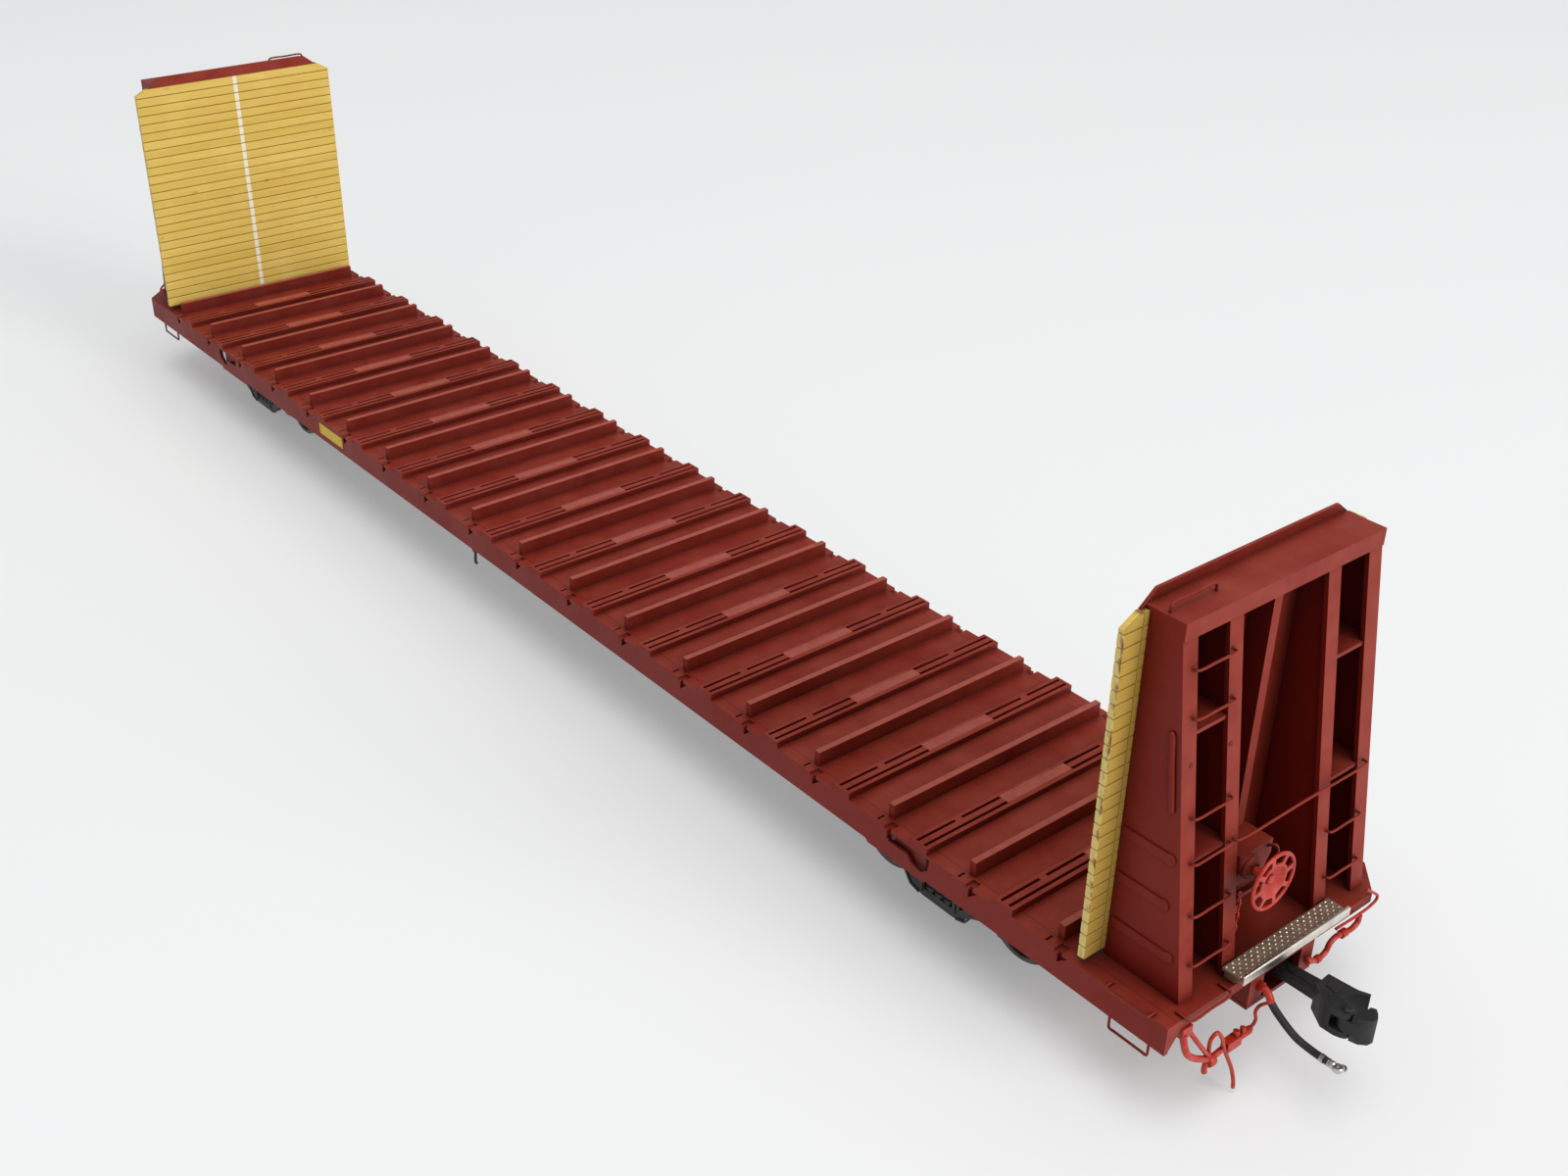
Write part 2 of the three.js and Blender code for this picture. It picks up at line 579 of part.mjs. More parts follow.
// The hose and the elbow that plugs it into the front of the draft box.
function airHose() {
  const [x, y, z] = HOSE[0];
  const elbow = tube([
    [BOX_FRONT + SEAT, y, z + 0.95], [x - 0.8, y, z + 0.95], [x - 0.2, y, z + 0.45], [x + 0.1, y, z - 0.1],
  ], 0.58, 6, 4);
  return join([elbow, tube(HOSE, 0.5, 9, 4)]);
}

function gladHand() {
  const [x, y, z] = HOSE[HOSE.length - 1];
  return join([
    bar(0.42, x + SEAT, x + 0.7, 'x', [0, y, z], 10),
    planProfile([[x + 0.5, y - 0.55], [x + 1.5, y - 0.55], [x + 1.8, y - 0.1], [x + 1.6, y + 0.6],
      [x + 0.9, y + 0.75], [x + 0.5, y + 0.5]], z - 0.45, z + 0.45),
  ]);
}

place('brake_cylinder', brakeCylinder(), BLACK_PLASTIC);
place('air_reservoir', airReservoir(), BLACK_PLASTIC);
place('control_valve', controlValve(), BLACK_PLASTIC);
place('train_line_pipe', trainLine(), BRAKE_RED);
placeBothEnds('air_hose', airHose(), RUBBER);
placeBothEnds('glad_hand', gladHand(), STEEL);

// ---------------------------------------------------------------- wire fittings
const WIRE_R = 0.15;

// A sill step: a square U of wire below the side sill.
function sillStep(x0, x1) {
  const y = -HALF_WIDTH + 0.28;
  const top = SILL_BOTTOM - SEAT;
  const low = SILL_BOTTOM - 1.6;
  return tube([
    [x0, y, top], [x0, y, top - 0.8], [x0 + 0.05, y, low + 0.15], [x0 + 0.2, y, low],
    [(x0 + x1) / 2, y, low],
    [x1 - 0.2, y, low], [x1 - 0.05, y, low + 0.15], [x1, y, top - 0.8], [x1, y, top],
  ], WIRE_R, 16, 3);
}

// The uncoupling lever: a bracket under the end sill, a hanging handle and a reach to the coupler.
function uncouplingLever() {
  const x = HALF_LENGTH + 0.4;
  const under = DECK_TOP - END_SILL_DEPTH - SEAT;
  const bracket = box([x - 0.9, -15.3, 11.0], [x - 0.1, -13.9, under]);
  const outerArm = tube([
    [x - 0.4, -15, 11.3], [x, -14.6, 9.3], [x, -13.4, 7.9], [x, -10.6, 6.0],
  ], 0.45, 6, 3);
  const innerArm = tube([[x - 0.4, -14.1, 11.3], [x, -13, 9.6], [x, -10.5, 6.1]], 0.4, 5, 3);
  const handle = tube([
    [x, -10.5, 6], [x, -10.9, 7.4], [x, -10.85, 8.7], [x + 0.1, -10.2, 9.2], [x + 0.2, -9.4, 8.2],
    [x + 0.2, -8.7, 6.4], [x + 0.3, -8, 4.9], [x + 0.5, -7.2, 3.0], [x + 0.8, -7, 1.5],
  ], 0.25, 16, 3);
  const reach = tube([[x, -10.8, 5.9], [x, -8.6, 6.2], [x, -7, 6.25], [x, -4.4, 6.4]], 0.4, 5, 3);
  const block = box([x - 0.5, -8.4, 5.6], [x + 0.5, -6.3, 6.9]);
  const eye = tube([
    [x, -5, 6.4], [x, -4.1, 6.6], [x, -3.8, 7.1], [x, -4.1, 8.3], [x, -3.7, 8.7], [x + 0.2, -2.3, 8.6],
  ], 0.2, 9, 3);
  return join([bracket, outerArm, innerArm, handle, reach, block, eye]);
}

// The branch pipe on the other side of the coupler, with the grab rod that holds it at the corner.
function branchPipe() {
  const x = HALF_LENGTH + 0.45;
  const rod = tube([
    [x, 7.5, 12.5], [x, 9.5, 12.4], [x, 11.4, 12.35], [x, 13.1, 12.45], [x, 14.15, 12.8],
    [x, 14.2, 13.3], [x, 13.6, 13.9], [x, 12.6, 14.7], [x, 11.8, 15.3],
  ], 0.18, 14, 3);
  const pipe = tube([
    [x, 11.5, 12.2], [x, 11.45, 11.4], [x, 10.6, 10.95], [x, 9.2, 11.1], [x, 7.9, 11.35], [x, 6.95, 11.0],
    [x, 6.5, 10.2], [x, 5.6, 9.85], [x, 4.5, 10.05], [x, 3.5, 10.7],
  ], 0.42, 14, 4);
  return join([rod, pipe]);
}

placeBothEnds('uncoupling_lever', uncouplingLever(), BRAKE_RED);
placeBothEnds('branch_pipe', branchPipe(), BRAKE_RED);
placeBothEnds('sill_step_end', sillStep(111.6, 116.4), BODY_RED);
placeBothEnds('sill_step_inner', sillStep(-110.8, -105.4), BODY_RED);

// ---------------------------------------------------------------- trucks
const AXLE_Z = FLANGE + TREAD_R;
const BOLSTER_TOP = 9.4;
const BOLSTER_BOTTOM = 6.9;

function truckBolster(x) {
  const half = SIDEFRAME_Y - SEAT;
  const beam = endProfile([
    [-half, BOLSTER_BOTTOM + 0.1], [-3, BOLSTER_BOTTOM - 0.3], [3, BOLSTER_BOTTOM - 0.3],
    [half, BOLSTER_BOTTOM + 0.1], [half, BOLSTER_TOP - 0.9], [5, BOLSTER_TOP], [-5, BOLSTER_TOP],
    [-half, BOLSTER_TOP - 0.9],
  ], x - 2.2, x + 2.2);
  const ends = slab(x - 2.1, x + 2.1, SIDEFRAME_Y + 1.05, BOLSTER_BOTTOM + 0.15, BOLSTER_TOP - 1.1);
  const boss = bar(2.6, BOLSTER_TOP - 0.5, CENTRE_PLATE_Z - 0.05, 'z', [x, 0, 0], 20);
  const hole = bar(SCREW_R + RUN, 0, 20, 'z', [x, 0, 0], 16);
  const counterbore = bar(SCREW_HEAD + 0.2, 0, BOLSTER_BOTTOM, 'z', [x, 0, 0], 16);
  return cut(join([beam, ends, boss]), [hole, counterbore]);
}

// A cast side frame: arched top chord, low bottom chord, two windows and a spring opening.
function sideframe(x, side) {
  const [y0, y1] = bothWays(side, SIDEFRAME_Y, SIDEFRAME_Y + 1.1);
  const [b0, b1] = bothWays(side, SIDEFRAME_Y, SIDEFRAME_Y + 1.5);
  const at = (points) => points.map(([px, pz]) => [x + px, pz]);
  const right = [[2.4, 2.35], [3.9, 2.8], [4.9, 4.0], [7.8, 5.0], [8.6, 4.8], [11.5, 4.8], [11.9, 5.2],
    [11.9, 6.6], [9.6, 7.5], [5.6, 9.1]];
  const left = right.map(([px, pz]) => [-px, pz]).reverse();
  const windowRight = [[3.3, 3.8], [4.0, 4.4], [7.4, 6.0], [7.4, 6.9], [5.2, 7.9], [3.3, 7.9]];
  const windowLeft = windowRight.map(([px, pz]) => [-px, pz]).reverse();
  const springs = [-1.35, 0, 1.35].map((px) =>
    bar(0.55, 3.2, BOLSTER_BOTTOM + 0.1, 'z', [x + px, side * (SIDEFRAME_Y + 0.55), 0], 8));
  const journals = [];
  const bores = [];
  for (const axle of [-1, 1]) {
    const cx = x + axle * AXLE_SPREAD / 2;
    journals.push(sideProfile([[cx - 0.7, 4.6], [cx + 0.7, 4.6], [cx + 1.1, 5.0], [cx + 1.1, 6.4],
      [cx + 0.7, 6.8], [cx - 0.7, 6.8], [cx - 1.1, 6.4], [cx - 1.1, 5.0]], b0, b1));
    const reach = bothWays(side, SIDEFRAME_Y - 1, AXLE_HALF - 0.35);
    bores.push(bar(JOURNAL_R + RUN, ...reach, 'y', [cx, 0, AXLE_Z], 12));
  }
  const casting = sideProfile(at([...right, ...left]), y0, y1);
  const windows = [windowRight, windowLeft].map((w) => sideProfile(at(w), y0 - 1, y1 + 1));
  const springHole = box([x - 2.2, y0 - 1, 3.4], [x + 2.2, y1 + 1, 8.4]);
  return cut(join([cut(casting, [...windows, springHole]), ...springs, ...journals]), bores);
}

function axle(x) {
  const end = AXLE_HALF - 0.4;
  return turned([
    [0, -end], [JOURNAL_R, -end], [JOURNAL_R, -SIDEFRAME_Y + 0.2], [AXLE_R, -SIDEFRAME_Y + 0.6],
    [AXLE_R, SIDEFRAME_Y - 0.6], [JOURNAL_R, SIDEFRAME_Y - 0.2], [JOURNAL_R, end], [0, end],
  ], 'y', 12, [x, 0, AXLE_Z]);
}

// A wheel with a flange, a dished plate and a hub, bored for the axle.
function wheel(x, side) {
  const back = BACK_TO_BACK / 2;
  const profile = [
    [AXLE_R + 0.01, back], [FLANGE_R - 0.15, back], [FLANGE_R, back + 0.3],
    [TREAD_R + 0.02, back + 0.75], [TREAD_R - 0.08, back + WHEEL_WIDTH],
    [4.0, back + WHEEL_WIDTH], [3.8, back + 1.3], [1.6, back + 1.1], [1.5, back + 2.2],
    [AXLE_R + 0.01, back + 2.2], [AXLE_R + 0.01, back],
  ];
  const ring = turned(profile, 'y', 18);
  return (side > 0 ? ring : ring.rotate([180, 0, 0])).translate([x, 0, AXLE_Z]);
}

function truckScrew(x) {
  return join([
    bar(SCREW_R, BOLSTER_BOTTOM - 0.5, 11.9, 'z', [x, 0, 0], 16),
    cut(bar(SCREW_HEAD, BOLSTER_BOTTOM - 0.75, BOLSTER_BOTTOM - 0.05, 'z', [x, 0, 0], 16),
      [slab(x - SCREW_HEAD, x + SCREW_HEAD, 0.2, 0, BOLSTER_BOTTOM - 0.5)]),
  ]);
}

for (const [end, x] of [['a', -TRUCK_X], ['b', TRUCK_X]]) {
  place(`truck_bolster_${end}`, truckBolster(x), BLACK_PLASTIC);
  place(`truck_screw_${end}`, truckScrew(x), STEEL);
  for (const [hand, side] of [['left', 1], ['right', -1]]) {
    place(`truck_sideframe_${end}_${hand}`, sideframe(x, side), BLACK_PLASTIC);
  }
  for (const [position, offset] of [['inner', -Math.sign(x)], ['outer', Math.sign(x)]]) {
    const axleX = x + offset * AXLE_SPREAD / 2;
    place(`axle_${end}_${position}`, axle(axleX), STEEL);
    for (const [hand, side] of [['left', 1], ['right', -1]]) {
      place(`wheel_${end}_${position}_${hand}`, wheel(axleX, side), STEEL);
    }
  }
}

// ---------------------------------------------------------------- draft gear and couplers
const BOX_FLOOR = CENTRE_SILL_BOTTOM + 0.55;
const CAVITY_TOP = 12.1;
const RING_R = 2.0;
const RING_BORE = 1.2;
const SHANK_HALF = 0.5;
const HEAD_HALF = 1.5;
const KNUCKLE_PIN = [126.2, -1.7];
const SWING = 3.5; // the brake end's coupler stands this many degrees to the left

function draftBox() {
  const body = slab(BOX_REAR, BOX_FRONT, BOX_HALF, BOX_FLOOR, DECK_UNDER - SEAT);
  const cavity = slab(BOX_REAR + 1, BOX_FRONT - 0.8, 4, BOX_FLOOR - 1, CAVITY_TOP);
  const mouth = slab(BOX_FRONT - 2, BOX_FRONT + 1, 2.9, BOX_FLOOR - 1, CAVITY_TOP);
  const pivot = bar(RING_BORE - 0.08, BOX_FLOOR, CAVITY_TOP + 0.1, 'z', [PIVOT_X, 0, 0], 20);
  const thread = bar(0.53, BOX_FLOOR - 1, CAVITY_TOP - 0.3, 'z', [PIVOT_X, 0, 0], 12);
  return cut(join([cut(body, [cavity, mouth]), pivot]), [thread]);
}

function draftBoxLid() {
  const top = BOX_FLOOR - SEAT;
  const lid = slab(BOX_REAR, BOX_FRONT, BOX_HALF, CENTRE_SILL_BOTTOM, top);
  return cut(lid, [bar(0.56, 0, 20, 'z', [PIVOT_X, 0, 0], 12)]);
}

function draftBoxScrew() {
  const seat = CENTRE_SILL_BOTTOM - SEAT;
  const shank = bar(0.5, seat - 0.2, CAVITY_TOP - 0.6, 'z', [PIVOT_X, 0, 0], 12);
  const head = bar(1.1, seat - 0.55, seat, 'z', [PIVOT_X, 0, 0], 16);
  const slot = slab(PIVOT_X - 2, PIVOT_X + 2, 0.15, 0, seat - 0.3);
  return join([shank, cut(head, [slot])]);
}

// The flat bronze spring under the coupler shank, with a finger on each side.
function centeringSpring() {
  const z0 = BOX_FLOOR + 0.04;
  const plan = [
    [PIVOT_X - 2.9, -1.9], [PIVOT_X + 2, -1.9], [PIVOT_X + 5.2, -3.5], [PIVOT_X + 5.4, -3.2],
    [PIVOT_X + 2.2, -1.3], [PIVOT_X + 2.2, 1.3], [PIVOT_X + 5.4, 3.2], [PIVOT_X + 5.2, 3.5],
    [PIVOT_X + 2, 1.9], [PIVOT_X - 2.9, 1.9],
  ];
  return cut(planProfile(plan, z0, z0 + 0.2), [bar(RING_BORE - 0.02, 0, 20, 'z', [PIVOT_X, 0, 0], 20)]);
}

// The coupler's shank and head. The knuckle turns between the head's two ears.
function couplerBody() {
  const low = COUPLER_Z - SHANK_HALF;
  const high = COUPLER_Z + SHANK_HALF;
  const ring = cut(bar(RING_R, low - 0.4, high + 0.4, 'z', [PIVOT_X, 0, 0], 20),
    [bar(RING_BORE, 0, 20, 'z', [PIVOT_X, 0, 0], 20)]);
  const shank = planProfile([
    [PIVOT_X + 1.6, -0.85], [118.5, -0.85], [121.8, -1.0], [123.2, -1.1], [123.2, 1.1],
    [121.8, 1.0], [118.5, 0.85], [PIVOT_X + 1.6, 0.85],
  ], low, high);
  const head = planProfile([
    [122.3, -1.1], [123.2, -1.8], [124.3, -2.65], [125.75, -2.7], [126.45, -2.52], [126.8, -2.3],
    [127.0, -1.95], [126.1, -1.2], [125.4, -0.8], [125.2, 0.1], [125.8, 0.9], [126.7, 1.45],
    [126.6, 1.7], [125.5, 1.3], [124.75, 1.25], [122.3, 1.15],
  ], COUPLER_Z - HEAD_HALF, COUPLER_Z + HEAD_HALF);
  const slot = planProfile([
    [125.0, -0.6], [128, -0.6], [128, -4], [125.6, -4], [124.9, -2.2],
  ], COUPLER_Z - 0.8, COUPLER_Z + 0.8);
  const pin = bar(0.4, COUPLER_Z - 1.0, COUPLER_Z + 1.0, 'z', [...KNUCKLE_PIN, 0], 12);
  return join([ring, shank, cut(head, [slot]), pin]);
}

function couplerKnuckle() {
  const half = 0.75;
  const hub = bar(0.8, COUPLER_Z - half, COUPLER_Z + half, 'z', [...KNUCKLE_PIN, 0], 16);
  const arm = planProfile([
    [126.1, -2.4], [127.0, -2.45], [128.0, -2.1], [128.0, -1.0], [126.6, -1.05], [126.1, -1.1],
  ], COUPLER_Z - half, COUPLER_Z + half);
  const nose = planProfile([
    [127.1, -2.28], [128.0, -2.1], [128.7, -1.5], [128.85, -0.8], [128.5, -0.2], [128.05, 0.28],
    [127.55, 0.1], [127.45, -0.6], [127.1, -1.2],
  ], COUPLER_Z - HEAD_HALF, COUPLER_Z + HEAD_HALF);
  const bore = bar(0.4 + RUN, 0, 20, 'z', [...KNUCKLE_PIN, 0], 12);
  return cut(join([hub, arm, nose]), [bore]);
}

// A solid swung about the coupler's pivot.
const swung = (part) => part.translate([-PIVOT_X, 0, 0]).rotate([0, 0, SWING]).translate([PIVOT_X, 0, 0]);

placeBothEnds('draft_box', draftBox(), BODY_RED);
placeBothEnds('draft_box_lid', draftBoxLid(), BODY_RED);
placeBothEnds('draft_box_screw', draftBoxScrew(), STEEL);
placeBothEnds('centering_spring', centeringSpring(), BRONZE);
for (const [name, part] of [['coupler_body', couplerBody()], ['coupler_knuckle', couplerKnuckle()]]) {
  place(`${name}_b`, swung(part), BLACK_PLASTIC);
  place(`${name}_a`, otherEnd(part), BLACK_PLASTIC);
}

export default group;
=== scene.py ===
# A model bulkhead flat car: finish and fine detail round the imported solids. Row frame, +Z up.
import math

import bmesh
import bpy
from mathutils import Matrix, Vector


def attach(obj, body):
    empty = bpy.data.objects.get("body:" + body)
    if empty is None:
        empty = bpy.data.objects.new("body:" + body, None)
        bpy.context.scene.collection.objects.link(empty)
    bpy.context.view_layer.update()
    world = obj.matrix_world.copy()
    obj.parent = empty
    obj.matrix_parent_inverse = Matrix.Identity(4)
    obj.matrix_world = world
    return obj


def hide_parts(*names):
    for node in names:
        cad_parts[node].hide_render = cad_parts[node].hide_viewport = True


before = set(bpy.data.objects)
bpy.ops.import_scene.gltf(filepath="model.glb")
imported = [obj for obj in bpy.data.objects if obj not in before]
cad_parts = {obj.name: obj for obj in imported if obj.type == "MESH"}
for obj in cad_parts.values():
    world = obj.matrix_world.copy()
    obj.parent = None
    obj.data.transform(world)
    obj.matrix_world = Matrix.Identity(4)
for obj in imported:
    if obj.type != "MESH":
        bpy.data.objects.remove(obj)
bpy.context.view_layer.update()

MM = 0.001


def link(name, data):
    """A new object in the scene."""
    made = bpy.data.objects.new(name, data)
    bpy.context.scene.collection.objects.link(made)
    return made


# ---- camera
CAMERA_AT = (189.947, -123.191, 129.523)
CAMERA_AZIMUTH, CAMERA_ELEVATION, CAMERA_ROLL = 50.319, 29.819, 0.97
LENS, SENSOR = 41.30, 36.0


def make_camera():
    azimuth, elevation, roll = (math.radians(v) for v in (CAMERA_AZIMUTH, CAMERA_ELEVATION, CAMERA_ROLL))
    turn = Matrix.Rotation(azimuth, 4, "Z") @ Matrix.Rotation(math.pi / 2 - elevation, 4, "X")
    turn = turn @ Matrix.Rotation(roll, 4, "Z")
    data = bpy.data.cameras.new("camera")
    data.lens = LENS
    data.sensor_width = SENSOR
    data.clip_start, data.clip_end = 0.01, 50
    camera = link("camera", data)
    camera.matrix_world = Matrix.Translation(Vector(CAMERA_AT) * MM) @ turn
    bpy.context.scene.camera = camera


make_camera()

# ---- sizes of the car, in millimetres
DECK_TOP = 13.53
DECK_END = 118.4
SILL_Y = 17.47
SILL_BOTTOM = 10.2
RIB_COUNT, RIB_PITCH, RIB_OFFSET = 18, 12.25, 0.05
RIB_TOP = DECK_TOP + 1.87
STRIP_TOP, STRIP_OFFSET, STRIP_SHEEN = DECK_TOP + 0.8, 5.25, 0.72
GROOVE_START, SCRIBE_Y = 5.0, 16.0
LINING_FACE, LINING_BOTTOM, LINING_TOP, BOARD_COUNT = 106.9, 14.3, 51.8, 26
SHEET_FRONT = 107.75
FRAME_TOP = LINING_TOP + 0.45
TRUCK_X, AXLE_OFFSET, AXLE_Z = 83.3, 10.15, 5.4
TREAD_R, FLANGE_R, AXLE_R, JOURNAL_R = 4.8, 5.4, 0.8, 0.5
SIDEFRAME_Y, SIDEFRAME_OUTER, JOURNAL_OUTER = 11.2, 12.3, 12.7
BRAKE_Y, BRAKE_Z, BRAKE_X, BRAKE_RIM = -4.85, 24.5, 118.5, 3.15
HOUSING_FRONT = 115.9
HOUSING_Z = (21.63, 25.83)
COUPLER_Z = 10.72
PIVOT_X = 111.6
SWING = math.radians(3.5)
PIPE_Y, PIPE_Z, PIPE_R = 4.6, 10.75, 0.4
HOSE = ((119.8, -3.5, 10), (120.6, -3.5, 9.3), (123.1, -3.5, 7.9), (125.1, -3.5, 7.6), (127, -3.6, 7.7))
PLATFORM_TOP = DECK_TOP + 1.32
BOARD_PITCH = (LINING_TOP - LINING_BOTTOM) / BOARD_COUNT
LINING_TRIM = 14.9


def post_back(z):
    """How far out the back face of a bulkhead post is at height z."""
    top, top_depth, foot_depth = LINING_TOP - 1.4, 3.85, 9.15
    return SHEET_FRONT + top_depth + (foot_depth - top_depth) * (top - z) / (top - DECK_TOP)


# ---- shapes: (vertices, faces) in millimetres
def full_turn(count):
    return [2 * math.pi * k / count for k in range(count)]


def smooth_path(points, per_span):
    """Points along the centripetal Catmull-Rom curve through the given points."""
    points = [Vector(p) for p in points]
    if per_span == 1:
        return points
    ends = [points[0] * 2 - points[1], *points, points[-1] * 2 - points[-2]]
    path = []
    for i in range(1, len(ends) - 2):
        p = ends[i - 1:i + 3]
        t = [0.0]
        for a, b in zip(p, p[1:]):
            t.append(t[-1] + max((b - a).length, 1e-6) ** 0.5)
        for k in range(per_span):
            u = t[1] + (t[2] - t[1]) * k / per_span
            level = list(p)
            for step in (1, 2):
                level = [
                    level[j].lerp(level[j + 1], (u - t[j]) / (t[j + step] - t[j]))
                    for j in range(len(level) - 1)
                ]
            first, second = level
            path.append(first.lerp(second, (u - t[1]) / (t[2] - t[1])))
    path.append(points[-1])
    return path


def tube(points, radius, sides=12, per_span=6, closed=False):
    """A round bar along a smooth path."""
    path = smooth_path(points, per_span)
    count = len(path)
    normal = None
    verts, faces = [], []
    for i, point in enumerate(path):
        before = path[i - 1] if i or closed else path[0]
        after = path[(i + 1) % count] if i < count - 1 or closed else path[-1]
        tangent = (after - before).normalized()
        if normal is None:
            normal = tangent.orthogonal().normalized()
        normal = (normal - tangent * normal.dot(tangent)).normalized()
        side = tangent.cross(normal)
        for angle in full_turn(sides):
            verts.append(point + (normal * math.cos(angle) + side * math.sin(angle)) * radius)
    for i in range(count if closed else count - 1):
        j = (i + 1) % count
        for k in range(sides):
            n = (k + 1) % sides
            faces.append((i * sides + k, i * sides + n, j * sides + n, j * sides + k))
    if not closed:
        faces += [tuple(range(sides)), tuple((count - 1) * sides + k for k in range(sides))]
    return verts, faces


def along(axis, height, a, b):
    """A point at height along the axis and (a, b) across it."""
    return {"x": (height, a, b), "y": (a, height, b), "z": (a, b, height)}[axis]


def lathe(profile, axis, at=(0, 0, 0), segments=40):
    """A turned shape. profile is (radius, height) points, from axis to axis or round a closed ring."""
    at = Vector(at)
    closed = profile[0][0] > 0
    verts, rings = [], []
    for radius, height in profile:
        ring = []
        for angle in full_turn(segments) if radius > 0 else [0.0]:
            ring.append(len(verts))
            across = (radius * math.cos(angle), radius * math.sin(angle))
            verts.append(at + Vector(along(axis, height, *across)))
        rings.append(ring)
    faces = []
    pairs = list(zip(rings, rings[1:])) + ([(rings[-1], rings[0])] if closed else [])
    for low, high in pairs:
        for k in range(segments):
            n = (k + 1) % segments
            quad = (low[k % len(low)], low[n % len(low)], high[n % len(high)], high[k % len(high)])
            faces.append(tuple(dict.fromkeys(quad)))
    return verts, faces


def prism(outline, axis, low, high):
    """An outline pushed along an axis: (y, z) points for x, (x, z) for y and (x, y) for z."""
    count = len(outline)
    verts = [Vector(along(axis, h, a, b)) for h in (low, high) for a, b in outline]
    faces = [tuple(range(count)), tuple(range(count, 2 * count))]
    for i in range(count):
        n = (i + 1) % count
        faces.append((i, n, count + n, count + i))
    return verts, faces


def box(low, high):
    (x0, y0, z0), (x1, y1, z1) = low, high
    return prism([(x0, y0), (x1, y0), (x1, y1), (x0, y1)], "z", z0, z1)


def bar(radius, low, high, axis, at=(0, 0, 0), segments=32):
    """A round bar with softened ends."""
    edge = min(0.06, radius * 0.4, (high - low) * 0.3)
    return lathe([
        (0, low), (radius - edge, low), (radius, low + edge),
        (radius, high - edge), (radius - edge, high), (0, high),
    ], axis, at, segments)


def dome(radius, height, axis, at, up=1, segments=12):
    """A low round head, such as a rivet's or a bolt's."""
    steps = 4
    angles = [math.pi / 2 * k / steps for k in range(steps)]
    rim = [(radius * math.cos(a), up * height * math.sin(a)) for a in angles]
    return lathe([(0, -up * 0.05), (radius, -up * 0.05), *rim, (0, up * height)], axis, at, segments)


def hexagon(radius, low, high, axis, at):
    return lathe([(0, low), (radius, low), (radius, high), (0, high)], axis, at, 6)


def moved(part, change):
    verts, faces = part
    return [change(Vector(v)) for v in verts], faces


def half_turn(part):
    """The same piece at the other end of the car."""
    return moved(part, lambda v: Vector((-v.x, -v.y, v.z)))


def swung(part):
    """A part of the brake end's coupler, which stands swung about its pivot."""
    pivot = Vector((PIVOT_X, 0, 0))
    turn = Matrix.Rotation(SWING, 3, "Z")
    return moved(part, lambda v: turn @ (v - pivot) + pivot)


def piece(name, parts, look, body="car_body", replaces=(), bevel=0.0, smooth=35):
    """One object of several closed parts, riding on a body."""
    shape = bmesh.new()
    for verts, faces in parts:
        made = [shape.verts.new(Vector(v) * MM) for v in verts]
        for face in faces:
            shape.faces.new([made[i] for i in face])
    bmesh.ops.recalc_face_normals(shape, faces=shape.faces)
    mesh = bpy.data.meshes.new(name)
    shape.to_mesh(mesh)
    shape.free()
    soften(mesh, smooth)
    mesh.materials.append(look)
    made = link(name, mesh)
    if bevel:
        add_bevel(made, bevel)
    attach(made, body)
    if replaces:
        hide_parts(*replaces)
    return made


def soften(mesh, angle):
    """Smooth shading, with edges sharper than the angle kept sharp."""
    mesh.shade_smooth()
    mesh.set_sharp_from_angle(angle=math.radians(angle))


def add_bevel(made, width):
    bevel = made.modifiers.new("bevel", "BEVEL")
    bevel.width = width * MM
    bevel.segments = 2
    bevel.limit_method = "ANGLE"
    bevel.angle_limit = math.radians(40)
    bevel.use_clamp_overlap = True


def both_ends(name, parts, look, replaces=(), **options):
    """A piece at the brake end (b) and its half-turn copy at end a. {e} in replaces stands for the end."""
    for end, placed in (("b", parts), ("a", [half_turn(p) for p in parts])):
        stood_for = [n.format(e=end) for n in replaces]
        piece(f"{name}_{end}", placed, look, replaces=stood_for, **options)


def dress(names, look, bevel=0.0, smooth=32):
    """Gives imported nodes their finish, with softened edges."""
    for name in names:
        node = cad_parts[name]
        mesh = node.data
        custom = mesh.attributes.get("custom_normal")
        if custom:
            mesh.attributes.remove(custom)
        mesh.materials.clear()
        mesh.materials.append(look)
        soften(mesh, smooth)
        weld = node.modifiers.new("weld", "WELD")
        weld.merge_threshold = 1e-6
        if bevel:
            add_bevel(node, bevel)
            flatten = node.modifiers.new("flatten", "WEIGHTED_NORMAL")
            flatten.keep_sharp = True


